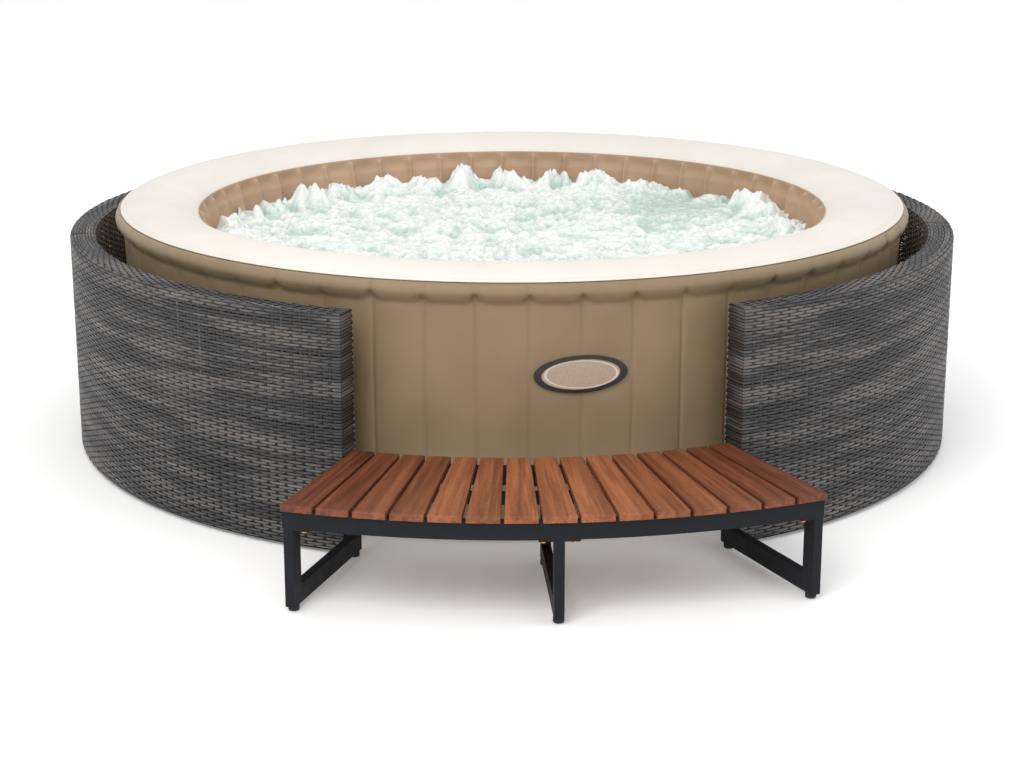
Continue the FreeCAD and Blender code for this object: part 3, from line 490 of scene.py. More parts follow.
# %% Ends of a row
UP = np.array([0.0, 0.0, 1.0])
END_TURNS = np.radians([25, 55, 85])
TAIL_REACH = np.array([0.003, 0.006, 0.009, 0.065])     # about how far along the strand they lie
SMALLEST_BEND = 0.0004


def end_tail(limits, azimuth, sign, radius_inset):
    """Points and outward directions of a row round one end of a panel."""
    inside, outside = limits[:2]
    angle = math.radians(azimuth)
    radial = np.array([math.sin(angle), -math.cos(angle), 0])
    along = sign * np.array([math.cos(angle), math.sin(angle), 0])
    bend = max(END_CORNER - radius_inset, SMALLEST_BEND)
    cosine, sine = np.cos(END_TURNS)[:, None], np.sin(END_TURNS)[:, None]
    corner = radial * (outside - END_CORNER) - along * END_CORNER
    points = corner + bend * (cosine * radial + sine * along)
    last = radial * (inside + 0.5 * END_CORNER) - along * radius_inset
    return np.vstack([points, last]), np.vstack([cosine * radial + sine * along, along])


print("points in a tail", len(TAIL_REACH))

# %% [markdown]
# ## Woven panels: the weaver
# One function lays the line of a row, and another weaves any run of rows. It asks the section
# where each row lies and which way the panel faces there. Each row gets its own small faults in
# height, in phase and in how far its loops stand out, because a panel woven by hand never has two
# rows alike.

# %% Line of a row
PHASE_FAULT, SWING_FAULT, HEIGHT_FAULT = 0.0005, 0.00022, 0.00025     # standard deviations, metres
TAIL_LIFT, TAIL_FAULT = 0.0009, 0.0002
WANDER = 0.0004                # a row's slow drift up and down


def row_line(limits, radius, stake_shares, odd, fine, wraps, rng):
    """Base points, outward directions, distance along and swing of one row."""
    _, outside, start, end, _, _ = limits
    middle, half_arc = (start + end) / 2, math.radians(end - start) / 2
    half = (half_arc - END_CORNER / outside) * radius
    places, waves = strand_wave(len(stake_shares) - 1, odd, fine)
    distance = np.interp(places, np.arange(len(stake_shares)), stake_shares) * half
    distance = distance + rng.normal(0, PHASE_FAULT, len(distance))
    swing = waves * WEAVE_SWING + rng.normal(0, SWING_FAULT, len(waves))
    azimuth = middle + np.degrees(distance / radius)
    radial = place(1.0, azimuth, 0.0)
    base, face_out = radial * radius, radial
    if wraps:
        tails = [end_tail(limits, azimuth_end, sign, outside - radius)
                 for azimuth_end, sign in ((start, -1), (end, 1))]
        base = np.vstack([tails[0][0][::-1], base, tails[1][0]])
        face_out = np.vstack([tails[0][1][::-1], face_out, tails[1][1]])
        distance = np.concatenate([-half - TAIL_REACH[::-1], distance, half + TAIL_REACH])
        flat = rng.normal(TAIL_LIFT, TAIL_FAULT, len(TAIL_REACH))
        swing = np.concatenate([flat[::-1], swing, flat])
    else:
        distance[[0, -1]] *= 1 + 0.8 * END_CORNER / half
        base[[0, -1]] = place(radius, middle + np.degrees(distance[[0, -1]] / radius), 0.0)
    return base, face_out, distance, swing


print("faults", PHASE_FAULT, SWING_FAULT, HEIGHT_FAULT)

# %% [markdown]
# ## Woven panels: rows of ribbon
# Each of the five lines along a ribbon looks up its own place on the section, so that a strand
# bends over the panel's top edge as a real one does, with no gap there. The UV carries the metres along
# the strand and the number of its row, for the finish to read.

# %% Rows
def weave(limits, runs, stake_shares, rng, wraps, fine, first_row=0):
    """Points, faces and UV of the rows at these runs along the section."""
    section = panel_section(limits)
    all_points, all_faces, all_uv, count = [], [], [], 0
    side, crown = ribbon_section(STRAND_WIDTH, STRAND_THICK)
    for row, run in enumerate(runs, first_row):
        radius = along_section(section, run)[0]
        base, face_out, distance, swing = row_line(limits, radius, stake_shares, row % 2, fine, wraps, rng)
        wander = WANDER * np.sin(distance * rng.uniform(5, 13) + rng.uniform(0, 6.3))
        slip = rng.normal(0, HEIGHT_FAULT)
        points = np.empty((len(distance), len(side), 3))
        for edge, (shift, rise) in enumerate(zip(side, crown)):
            radius_here, height, outward, upward = along_section(section, run + shift + slip)
            lift = (swing + rise)[:, None]
            points[:, edge] = (base + face_out * (outward * lift + (radius_here - radius))
                               + UP * (height + upward * lift)
                               + (UP * outward - face_out * upward) * wander[:, None])
        uv = np.stack(np.broadcast_arrays(distance[:, None] + 3.1 * first_row,
                                          row + 0.5 + 0.8 * side / STRAND_WIDTH), -1)
        faces, caps = capped_ribbon_faces(len(distance))
        all_points.append(points.reshape(-1, 3))
        all_uv.append(uv.reshape(-1, 2))
        all_faces += [faces + count, caps + count]
        count += points.shape[0] * points.shape[1]
    return np.concatenate(all_points), np.concatenate(all_faces), np.concatenate(all_uv)


print("row pitch", ROW_PITCH, "strand", STRAND_WIDTH)

# %% [markdown]
# ## Woven panels: stakes
# The stakes stand behind the rows, up one face, over the top and down the other. They only show
# as dark marks between the strands, but without them the weave would let light through.

# %% Stakes
STAKE_ROW = 500                # row numbers from here on belong to stakes


def stand_stakes(limits, stake_shares):
    """Points, faces and UV of the upright stakes, up one face and down the other."""
    _, outside, start, end, _, _ = limits
    table, runs = panel_section(limits)
    middle, half_arc = (start + end) / 2, math.radians(end - start) / 2
    radius, height, outward, upward = table.T
    all_points, all_faces, all_uv = [], [], []
    for number, share in enumerate(stake_shares):
        azimuth = middle + math.degrees(share * (half_arc - END_CORNER / outside))
        radial, aside = place(1.0, azimuth, 0.0), place(1.0, azimuth + 90, 0.0)
        base = radius[:, None] * radial + height[:, None] * UP
        out = outward[:, None] * radial + upward[:, None] * UP
        across = np.repeat(aside[None], len(base), axis=0)
        points = ribbon(base, out, across, np.zeros(len(base)), STAKE_WIDTH, STRAND_THICK)
        faces, caps = capped_ribbon_faces(len(base))
        shift = number * points.shape[0] * points.shape[1]
        uv = np.stack(np.broadcast_arrays(runs[:, None] + 1.7 * number,
                                          number + STAKE_ROW + 0.5 + np.linspace(-0.4, 0.4, 5)), -1)
        all_points.append(points.reshape(-1, 3))
        all_faces += [faces + shift, caps + shift]
        all_uv.append(uv.reshape(-1, 2))
    return np.concatenate(all_points), np.concatenate(all_faces), np.concatenate(all_uv)


def stakes_of(limits):
    """Where the stakes stand along the curve, from -1 at one end to 1 at the other."""
    length = math.radians(limits[3] - limits[2]) * limits[1]
    return np.linspace(-1, 1, 2 * round(length / STAKE_PITCH / 2) + 1)


print("stakes in each panel", [len(stakes_of(panel_limits(name))) for name in PANEL_NAMES])

# %% [markdown]
# ## The strands' finish
# The strands are extruded resin, half gloss, and their makers mix batches of nearly black and
# warm grey strand so that the weave looks like natural wicker. A strand keeps its batch for a few
# rows and some tens of centimetres. The UV says how far along its strand a point is and in which
# row, so the colour can follow the strand. The stakes behind are painted darker, as painted shade in
# the gaps between the strands. Very fine lines run along each strand from the extruder's die.

# %% Wicker finish
STREAK_SCALE = (9.0, 9.0)      # along a strand and across it
DIE_LINE_SCALE = (14.0, 26.0)
STAKE_PAINTED_SHADE = 0.22
BATCH_LEVEL = 0.53             # brings the sum of the parts back to between 0 and 1
wicker, tree, shader = finish_named("two_tone_wicker", Specular_IOR_Level=0.45)
along, row, row_number = strand_sockets(tree)
band = grain(tree, flat_place(tree, along, 2.6, row_number, 0.17), 1.0, 2.5, 0.6)
own = add(tree, "TexWhiteNoise", {"noise_dimensions": "1D"}, W=row_number).outputs[0]
patch = grain(tree, flat_place(tree, along, 6.5, row_number, 7.3), 1.0, 1.0)
streak = grain(tree, flat_place(tree, along, STREAK_SCALE[0], row, STREAK_SCALE[1]), 1.0, 3.0, 0.65)
# The stakes are seen only in the gaps between strands, so they are pushed to the ramp's darkest stops as
# painted shade.
is_stake = calc(tree, "GREATER_THAN", row, STAKE_ROW - 1)
batch = weighted(tree, (band, 1.3), (own, 0.12), (patch, 0.25), (streak, 0.22),
                 (is_stake, -STAKE_PAINTED_SHADE))
batch_colour = ramp(tree, calc(tree, "MULTIPLY", batch, BATCH_LEVEL),
                    (0.20, shade(26, 25, 26)), (0.38, shade(44, 43, 45)), (0.47, shade(55, 54, 56)),
                    (0.53, shade(84, 81, 79)), (0.64, shade(110, 104, 99)))
die_lines = grain(tree, flat_place(tree, along, DIE_LINE_SCALE[0], row, DIE_LINE_SCALE[1]), 1.0, 3.0, 0.7)
wire(tree, shader, batch_colour, bump(tree, die_lines, 0.0004, 0.8),
     gloss(tree, streak, (0.3, 0.36), (0.7, 0.56)))
print("wicker nodes", len(tree.nodes))

# %% [markdown]
# ## The lining's finish
# The inside of the surround is woven from a nearly black strand, and pale dots are painted on it as
# painted highlights where the strands cross. From the gap over the tub only those dots are seen, so the
# finish
# draws them: it measures how far a point is from the middle of the nearest stake and row.

# %% Lining finish
lining, tree, shader = finish_named("dotted_lining", 0.6)
along, row, row_number = strand_sockets(tree)


def from_middle(value):
    """Distance to the middle of the unit that a value is in."""
    return calc(tree, "ABSOLUTE", calc(tree, "SUBTRACT", calc(tree, "FRACT", value), 0.5))


half_stake = calc(tree, "DIVIDE", along, 0.5 * STAKE_PITCH)
near_dot = from_middle(calc(tree, "ADD", half_stake, calc(tree, "MULTIPLY", row_number, 0.5)))
near_row = calc(tree, "MULTIPLY", from_middle(row), 0.7)
oval_dot = calc(tree, "MAXIMUM", near_dot, near_row)
dot = weighted(tree, (oval_dot, 1.0), (grain(tree, where(tree), 160.0), 0.12))
# The pale dots are painted highlights at the strand crossings, on the nearly black strand.
dot_highlight_colour = ramp(tree, dot, (0.28, shade(158, 144, 126)), (0.36, shade(30, 28, 27)))
die_lines = grain(tree, flat_place(tree, along, DIE_LINE_SCALE[0], row, DIE_LINE_SCALE[1]), 1.0, 3.0, 0.7)
wire(tree, shader, dot_highlight_colour, bump(tree, die_lines, 0.0004, 0.8))
print("lining nodes", len(tree.nodes))

# %% [markdown]
# ## Weaving the four panels
# The outer face, the rounded edge and the top are one fine piece. The inside of the surround is
# hardly seen, so its rows have fewer points. Stakes go over the top from one face to the other.

# %% Weave
rng = np.random.default_rng(41)
for panel_name in PANEL_NAMES:
    limits = panel_limits(panel_name)
    runs = panel_section(limits)[1]
    shares = stakes_of(limits)
    face_rows = np.arange(0, runs[5], ROW_PITCH)
    top_rows = np.arange(face_rows[-1] + ROW_PITCH, runs[-2], ROW_PITCH)
    inner_rows = np.arange(top_rows[-1] + ROW_PITCH, runs[-1], ROW_PITCH)
    outer = weave(limits, face_rows, shares, rng, True, True)
    top = weave(limits, top_rows, shares, rng, False, True, len(face_rows))
    inner = weave(limits, inner_rows, shares, rng, False, False, len(face_rows) + len(top_rows))
    stakes = stand_stakes(limits, shares)
    for title, parts, finish, nodes in (
            ("woven_shell_", (outer, top, stakes), wicker, ["woven_panel_" + panel_name]),
            ("woven_lining_", (inner,), lining, [])):
        counts = np.cumsum([0] + [len(part[0]) for part in parts])
        points = np.concatenate([part[0] for part in parts])
        faces = np.concatenate([part[1] + shift for part, shift in zip(parts, counts)])
        strand_map = np.concatenate([part[2] for part in parts])
        piece = link(mesh_of(title + panel_name, points, faces, strand_map), title + panel_name, finish)
        stand_for(piece, "tub", "wicker", *nodes)
        print(piece.name, "stakes", len(shares), "quads", len(faces))

# %% [markdown]
# ## Air cells
# Inside the ring of air, upright webs tie the outer wall to the bath wall, and the fabric swells
# out a little between them. So every wall is one grid: columns go round the tub, sixteen to a
# cell and closest together at the webs, and rows follow the wall's section. A displacement along
# the section's own normal makes the swell, the crease at each web and the puckers.

# %% Cell grid
WEB_COUNT = 54
CELL_ARC = 360 / WEB_COUNT
web_turn = np.radians(polar_of("wall_webs")[1] * WEB_COUNT)
WEB_PHASE = math.degrees(math.atan2(np.sin(web_turn).sum(), np.cos(web_turn).sum())) / WEB_COUNT
CELL_SHARES = np.array([0.0, 0.02, 0.045, 0.08, 0.13, 0.2, 0.29, 0.4,
                        0.5, 0.6, 0.71, 0.8, 0.87, 0.92, 0.955, 0.98])
around = np.concatenate([WEB_PHASE + (cell + CELL_SHARES) * CELL_ARC for cell in range(WEB_COUNT)])
cell_place = np.tile(2 * CELL_SHARES - 1, WEB_COUNT)
cell_number = np.repeat(np.arange(WEB_COUNT), len(CELL_SHARES))
from_web = (1 - np.abs(cell_place)) * CELL_ARC / 2
print("webs %d, phase %.3f, columns %d" % (WEB_COUNT, WEB_PHASE, len(around)))


# %% [markdown]
# ## Arcs and folds
# A wall's section is drawn as a few straight runs and arcs. Bells and eased steps place a crease
# or a swell along it, and smooth noise makes the folds.

# %% Curves and noise
def arc_through(start, middle, end, count):
    """Points of a circular arc through three (radius, height) points."""
    (ax, ay), (bx, by), (cx, cy) = start, middle, end
    d = 2 * (ax * (by - cy) + bx * (cy - ay) + cx * (ay - by))
    ux = ((ax**2 + ay**2) * (by - cy) + (bx**2 + by**2) * (cy - ay) + (cx**2 + cy**2) * (ay - by)) / d
    uy = ((ax**2 + ay**2) * (cx - bx) + (bx**2 + by**2) * (ax - cx) + (cx**2 + cy**2) * (bx - ax)) / d
    first, mid, last = (math.atan2(y - uy, x - ux) for x, y in (start, middle, end))
    turn = (last - first) % (2 * math.pi)
    if (mid - first) % (2 * math.pi) > turn:
        turn -= 2 * math.pi
    angle = first + np.linspace(0, turn, count)
    size = math.hypot(ax - ux, ay - uy)
    return np.stack([ux + size * np.cos(angle), uy + size * np.sin(angle)], axis=1)


def bell(distance, width):
    """1 at distance 0, fading to nothing some widths away."""
    return np.exp(-(distance / width) ** 2)


def outward_normals(profile):
    """Unit normals, to the right of a profile's direction of travel in (radius, height)."""
    slope = np.gradient(profile, axis=0)
    normal = np.stack([slope[:, 1], -slope[:, 0]], axis=1)
    return normal / np.linalg.norm(normal, axis=1)[:, None]


def noise_field(x, y, z, octaves=3):
    """Smooth noise between about -1 and 1 at arrays of points."""
    flat = np.stack([np.ravel(v) for v in np.broadcast_arrays(x, y, z)], axis=1)
    total = [noise.fractal(Vector(p), 1.0, 2.0, octaves) for p in flat.tolist()]
    return np.array(total).reshape(np.broadcast(x, y, z).shape)


def round_noise(size, along, octaves=3):
    """Smooth noise round the tub's columns: size sets how many folds go round."""
    angle = np.radians(around)[None]
    return noise_field(np.sin(angle) * size, np.cos(angle) * size, along, octaves)


print("noise from %.2f to %.2f" % tuple(np.sort(noise_field(np.arange(9) * 0.3, 0.1, 0.2))[[0, -1]]))

# %% [markdown]
# ## A skin round the tub
# The skin helper turns a section and its swell into one closed double wall round the whole tub.
# The swell goes along the section's own normal, so that a fold stays square to the wall where the
# section turns over, at the roll and at the neck.

# %% Skin
FABRIC_THICK = 0.002


def skin(name, profile, swell, material, thick=FABRIC_THICK, lift=0.0):
    """Closed fabric skin round the tub: a profile, pushed out along its normals by swell."""
    normal = outward_normals(profile)
    radius = profile[:, :1] + normal[:, :1] * swell
    height = profile[:, 1:] + normal[:, 1:] * swell + lift
    back_radius, back_height = radius - normal[:, :1] * thick, height - normal[:, 1:] * thick
    radius = np.concatenate([radius, back_radius[::-1]])
    height = np.concatenate([height, back_height[::-1]])
    points = place(radius, np.broadcast_to(around, radius.shape), height)
    faces = grid_faces(len(radius), len(around), wrap_columns=True, wrap_rows=True)
    run = np.concatenate([[0], np.cumsum(np.hypot(*np.diff(profile, axis=0).T))])
    run = np.concatenate([run, run[::-1]])
    uv = np.stack(np.broadcast_arrays(np.radians(around)[None], run[:, None]), axis=-1)
    return link(mesh_of(name, points.reshape(-1, 3), faces, uv.reshape(-1, 2)), name, material)


print("fabric", FABRIC_THICK * 1000, "mm")

# %% [markdown]
# ## Fabric finishes
# The walls are PVC laminated on polyester. Seen close, it has a fine leathery emboss and a soft
# sheen, and its tone clouds a little from place to place. The same recipe makes all the tub's
# fabrics, with their own colours and gloss.

# %% Coated fabric
def coated_fabric(name, low, high, roughness, sheen=0.0):
    """Laminated fabric in two close tones."""
    material, tree, shader = finish_named(name, roughness, Sheen_Weight=sheen, Specular_IOR_Level=0.4)
    place_in_metres = where(tree)
    cloud = grain(tree, place_in_metres, 4.0, 3.0, 0.6)
    leather = add(tree, "TexVoronoi", {"feature": "DISTANCE_TO_EDGE"}, Vector=place_in_metres,
                  Scale=420.0).outputs[0]
    fibre = grain(tree, place_in_metres, 900.0, 2.0, 0.6)
    tone = ramp(tree, weighted(tree, (cloud, 0.7), (fibre, 0.3)), (0.36, low), (0.64, high))
    relief = calc(tree, "ADD", calc(tree, "MINIMUM", calc(tree, "MULTIPLY", leather, 6.0), 1.0), fibre)
    wire(tree, shader, tone, bump(tree, relief, 0.00035, 0.6),
         gloss(tree, cloud, (0.3, roughness - 0.05), (0.7, roughness + 0.06)))
    return material


tan_fabric = coated_fabric("tan_wall_fabric", shade(136, 115, 88), shade(147, 126, 98), 0.38, sheen=0.08)
bath_fabric = coated_fabric("bath_wall_fabric", shade(176, 146, 119), shade(192, 162, 134), 0.40)
cream_fabric = coated_fabric("cream_ring_fabric", shade(225, 219, 209), shade(233, 227, 218), 0.42)
web_fabric = coated_fabric("web_fabric", shade(170, 160, 145), shade(190, 180, 165), 0.6)
floor_fabric = coated_fabric("floor_fabric", shade(176, 152, 122), shade(196, 172, 140), 0.5)
print("fabrics ready")

# %% [markdown]
# ## The outer wall
# Low on the tub the cells look nearly flat, with a thin dark line at each web. Near the top they
# are gathered into a neck, where every cell hangs in a small scallop and every web makes a dark
# notch. Above the neck a narrow roll carries the seam of the top ring, with fine upright
# wrinkles. Behind the badge and the fittings the wall is held flat, so that nothing pokes through.

# %% Outer wall
NECK_HEIGHT = TUB_TOP - 0.075
FOOT_RISE = 0.060
SEAM = (WALL_RADIUS + 0.0115, TUB_TOP - 0.023)
ROLL = (ROLL_RADIUS, TUB_TOP - 0.048)
WALL_NECK = (WALL_RADIUS, NECK_HEIGHT)
foot_start = (FLOOR_RADIUS, 0.001)
foot_middle = (WALL_RADIUS - 0.009, 0.4 * FOOT_RISE)
wall_rows = np.linspace(FOOT_RISE, NECK_HEIGHT, 26)[1:-1]
rows_under_neck = NECK_HEIGHT - np.array([0.004, 0.008, 0.013, 0.028])
wall_rows = np.sort(np.concatenate([wall_rows, rows_under_neck]))
wall_line = np.stack([np.full(len(wall_rows), WALL_RADIUS), wall_rows], axis=1)
wall_profile = np.concatenate([arc_through(foot_start, foot_middle, (WALL_RADIUS, FOOT_RISE), 7),
                               wall_line, arc_through(WALL_NECK, ROLL, SEAM, 17)])
NECK_ROUNDINGS = 9             # passes that ease the fold at the neck
NECK_REACH = 0.022
for _ in range(NECK_ROUNDINGS):
    eased = (wall_profile[:-2] + 2 * wall_profile[1:-1] + wall_profile[2:]) / 4
    near = np.abs(wall_profile[1:-1, 1] - NECK_HEIGHT) < NECK_REACH
    wall_profile[1:-1][near] = eased[near]
print("rows up the outer wall", len(wall_profile))

# %% [markdown]
# ## Spots that are held flat
# A badge is welded to the wall, and each fitting is clamped through it, so the fabric can't swell
# there. Each spot is an oval on the wall, measured from its CAD node. Inside it the swell is left
# out, and just outside it the swell eases back in.

# %% Held spots
def held_flat(azimuth, height, spots):
    """0 at the middle of each held spot, rising to 1 just outside it."""
    free = np.ones(np.broadcast(azimuth, height).shape)
    for centre, level, half_width, half_height in spots:
        side = (azimuth - centre + 180) % 360 - 180
        away = np.hypot(np.radians(side) * WALL_RADIUS / half_width, (height - level) / half_height)
        free = np.minimum(free, smooth(away, 1.05, 1.5))
    return free


def spot_of(node, spare=1.0):
    """Where a fitting or the badge sits on the wall, and its half sizes there."""
    radius, azimuth, height = polar_of(node)
    turn = np.radians(azimuth)
    centre = math.degrees(math.atan2(np.sin(turn).mean(), np.cos(turn).mean()))
    side = (azimuth - centre + 180) % 360 - 180
    half_width = np.radians(np.abs(side)).max() * radius.max() * spare
    return centre, (height.min() + height.max()) / 2, half_width, (np.ptp(height) / 2) * spare


OUTSIDE_SPOTS = [spot_of(node) for node in ("badge_ring", "inlet_port", "outlet_port", "air_port",
                                            "inflation_valve_body", "drain_body")]
INSIDE_SPOTS = [spot_of(node) for node in ("filter_housing", "outlet_port", "air_port")]
for spot in OUTSIDE_SPOTS:
    print("held flat at %.1f degrees, %.3f m, half %.3f x %.3f" % spot)

# %% [markdown]
# ## How the outer wall swells
# Each number below is one thing that can be seen on such a wall: the crown of a cell, the crease
# at a web, the notch and the scallop at the neck, the gathers on the roll and a few long folds.
# They are added up over the whole grid and pushed out along the wall's normal.

# %% Swell of the outer wall
CREASE_DEPTH, CREASE_WIDTH = 0.0026, 0.0036
NOTCH_DEPTH, NOTCH_WIDTH, NOTCH_HEIGHT = 0.0100, 0.0095, 0.010
SCALLOP_LIFT, SCALLOP_WIDTH, SCALLOP_HEIGHT = 0.011, 0.017, 0.02
SMOOTH_AZIMUTH = -75           # the fabric is pulled smooth left of the step
PULLED_IN = 0.0006             # how far the wall is held under a fitting
CELL_CROWN, UPPER_BULGE = 0.0024, 0.0035
NECK_LIFT, NECK_FOLD = 0.0020, 0.0008
GATHER_DEPTH, GATHER_WIDTH = 0.0055, 0.008
SEAM_DEPTH, WRINKLES, LONG_FOLDS = 0.0030, 0.0016, 0.0011

level = wall_profile[:, 1:]
above_neck = level - NECK_HEIGHT
web_metres = np.radians(from_web)[None] * WALL_RADIUS
notch_random = 0.3 + 0.6 * np.random.default_rng(5).random(WEB_COUNT)
nearest_web = np.where(cell_place < 0, cell_number, cell_number + 1) % WEB_COUNT
notch_size = notch_random[nearest_web][None]
from_smooth = np.abs((around - SMOOTH_AZIMUTH + 180) % 360 - 180)
hang = (0.25 + 0.75 * smooth(from_smooth, 25, 60))[None]
crown = 1 - cell_place[None] ** 2
on_wall = smooth(level, 0.02, 0.10) * (1 - smooth(level, NECK_HEIGHT - 0.02, NECK_HEIGHT + 0.01))
on_roll = smooth(level, NECK_HEIGHT, NECK_HEIGHT + 0.012) * (1 - smooth(level, SEAM[1] - 0.01, SEAM[1]))
near_neck = bell(above_neck, NOTCH_HEIGHT)
scallop = SCALLOP_LIFT * bell(web_metres, SCALLOP_WIDTH) * notch_size * hang
scallop = scallop * bell(above_neck, SCALLOP_HEIGHT)

swell = CELL_CROWN * crown * on_wall
swell = swell - CREASE_DEPTH * bell(web_metres, CREASE_WIDTH) * on_wall
swell = swell + UPPER_BULGE * smooth(level, NECK_HEIGHT - 0.08, NECK_HEIGHT - 0.01) * on_wall * crown
swell = swell + NECK_LIFT * near_neck
swell = swell - (NECK_FOLD + NOTCH_DEPTH * bell(web_metres, NOTCH_WIDTH) * notch_size * hang) * near_neck
swell = swell - GATHER_DEPTH * bell(web_metres, GATHER_WIDTH) * on_roll * notch_size * hang
swell = swell - SEAM_DEPTH * bell(level - SEAM[1], 0.0030)
swell = swell + WRINKLES * round_noise(42, level * 9, 2) * on_roll
swell = swell + LONG_FOLDS * round_noise(11, level * 6 + 3) * on_wall
free = held_flat(around[None], level, OUTSIDE_SPOTS)
swell = swell * free - PULLED_IN * (1 - free)
swell[0] = 0
outer_wall = skin("outer_wall_skin", wall_profile, swell, tan_fabric, lift=scallop)
stand_for(outer_wall, "tub", "wall_fabric", "tub_outer_wall")
print("outer wall", len(outer_wall.data.polygons), "quads, swell mm %.1f to %.1f"
      % (swell.min() * 1000, swell.max() * 1000))

# %% [markdown]
# ## The top ring
# A smooth ring of cream fabric is welded to both walls. Just inside its outer seam a narrow welt
# stands up, then a shallow groove, and then the fabric swells in one broad curve to the bath. The
# webs pull very faint dips across it.

# %% Top ring
CREST = (WALL_RADIUS - 0.105, TUB_TOP)
RIM = (RIM_RADIUS, TUB_TOP - 0.0415)
full_arc = arc_through(SEAM, CREST, RIM, 241)
run = np.concatenate([[0], np.cumsum(np.hypot(*np.diff(full_arc, axis=0).T))])
ring_runs = np.concatenate([np.linspace(0, 0.03, 16), np.linspace(0.038, run[-1] - 0.02, 18),
                            np.linspace(run[-1] - 0.014, run[-1], 6)])
ring_profile = np.stack([np.interp(ring_runs, run, column) for column in full_arc.T], axis=1)[::-1]
ring_run = ring_runs[::-1][:, None]
welt = 0.0016 * bell(ring_run - 0.0055, 0.0032)
groove = -0.0022 * bell(ring_run - 0.0135, 0.0035)
inner_groove = -0.0018 * bell(run[-1] - ring_run, 0.006)
middle_of_ring = np.sin(np.pi * np.clip((ring_run - 0.02) / (run[-1] - 0.03), 0, 1))
ring_web = np.radians(from_web)[None] * CREST[0]
dips = -0.0011 * bell(ring_web, 0.012) * (0.3 + middle_of_ring)
ring_folds = 0.0009 * round_noise(7, ring_run * 5, 2)
ring_swell = -(welt + groove + inner_groove + dips * middle_of_ring + ring_folds * middle_of_ring)
ring_swell[[0, -1]] = 0
top_ring = skin("top_ring_skin", ring_profile, ring_swell, cream_fabric, thick=-FABRIC_THICK)
stand_for(top_ring, "tub", "ring_fabric", "tub_top_ring")
print("top ring", len(top_ring.data.polygons), "quads")

# %% [markdown]
# ## The bath wall
# Inside, the fabric swells towards the bather. A soft roll hangs under the seam with the top
# ring, and every web pulls a deep pucker under it, so the roll looks like a row of cushions. Down
# the wall the webs show as upright seams between shallow lobes.

# %% Bath wall
ROLL_UNDER = 0.046             # height of the soft roll under the seam
SHOULDER = (BATH_RADIUS, TUB_TOP - 0.160)
lean_rows = np.concatenate([np.linspace(0, 0.012, 4), np.linspace(0.017, 0.075, 13),
                            np.linspace(0.088, 0.13, 5)])
lean = RIM[0] + (SHOULDER[0] - RIM[0]) * lean_rows / (RIM[1] - SHOULDER[1])
lean_line = np.stack([np.maximum(lean, BATH_RADIUS), RIM[1] - lean_rows], axis=1)
low_rows = np.linspace(SHOULDER[1] - 0.02, 0.005, 16)
low_line = np.stack([np.full(len(low_rows), BATH_RADIUS), low_rows], axis=1)
bath_profile = np.concatenate([lean_line, low_line])
drop = RIM[1] - bath_profile[:, 1:]
bath_web = np.radians(from_web)[None] * BATH_RADIUS
puckers = bell(bath_web, 0.008) * notch_size
roll_swell = 0.0035 * np.sin(np.pi * np.clip(drop / ROLL_UNDER, 0, 1)) ** 0.7
under_roll = -0.0012 * bell(drop - ROLL_UNDER, 0.009)
lobes = 0.010 * crown * smooth(drop, 0.0, 0.03)
seams = -(0.005 + 0.011 * puckers) * bell(bath_web, 0.0085) * smooth(drop, 0.003, 0.016)
bath_folds = 0.0016 * round_noise(19, drop * 14) * smooth(drop, 0.0, 0.03)
bath_swell = roll_swell + under_roll + lobes + seams + bath_folds
bath_free = held_flat(around[None], bath_profile[:, 1:], INSIDE_SPOTS)
above_floor = 1 - smooth(-bath_profile[:, 1:], -0.06, -0.02)
bath_swell = bath_swell * bath_free * above_floor - PULLED_IN * (1 - bath_free)
bath_swell[[0, -1]] = 0
bath_wall = skin("bath_wall_skin", bath_profile, -bath_swell, bath_fabric, thick=-FABRIC_THICK)
stand_for(bath_wall, "tub", "bath_fabric", "tub_inner_wall")
print("bath wall", len(bath_wall.data.polygons), "quads")

# %% [markdown]
# ## Webs
# The webs are cut from flat fabric and welded to both walls, with three holes each so that the
# air can pass. Their outline is the section of the three skins where they are pulled in furthest,
# less a little to spare, so no web pokes through the fabric.

# %% Outline of a web
def at_webs(profile, swelling):
    """Section of a skin at the webs, where it is pulled in furthest."""
    pulled = swelling[:, ::len(CELL_SHARES)]
    least = pulled.min(axis=1) if abs(pulled.min()) > pulled.max() else pulled.max(axis=1)
    return profile + outward_normals(profile) * least[:, None]


WEB_SPARE = 0.0035             # from the seen face of the skins to the edge of a web
sections = [at_webs(wall_profile, swell), at_webs(ring_profile, ring_swell)[::-1],
            at_webs(bath_profile, -bath_swell)]
outline = np.concatenate([part[1:-1] for part in sections])
step = np.roll(outline, -1, axis=0) - np.roll(outline, 1, axis=0)
inward = np.stack([-step[:, 1], step[:, 0]], axis=1) / np.linalg.norm(step, axis=1)[:, None]
outline = outline + inward * WEB_SPARE
HOLE_RADIUS = 0.035
HOLE_HEIGHTS = (0.28, 0.5, 0.72)       # shares of the tub's height
turns = np.linspace(0, 2 * math.pi, 24, endpoint=False)
hole = np.stack([np.cos(turns), np.sin(turns)], axis=1) * HOLE_RADIUS
web_middle = (BATH_RADIUS + WALL_RADIUS) / 2
loops = [outline] + [hole + (web_middle, share * TUB_TOP) for share in HOLE_HEIGHTS]
print("web outline", len(outline), "points")

# %% [markdown]
# ## Cutting the webs
# A 2-D curve with holes, filled and given a thickness, is the simplest way to cut such a shape.
# One web is cut and then turned to all its places, so that all the webs are one piece here too.

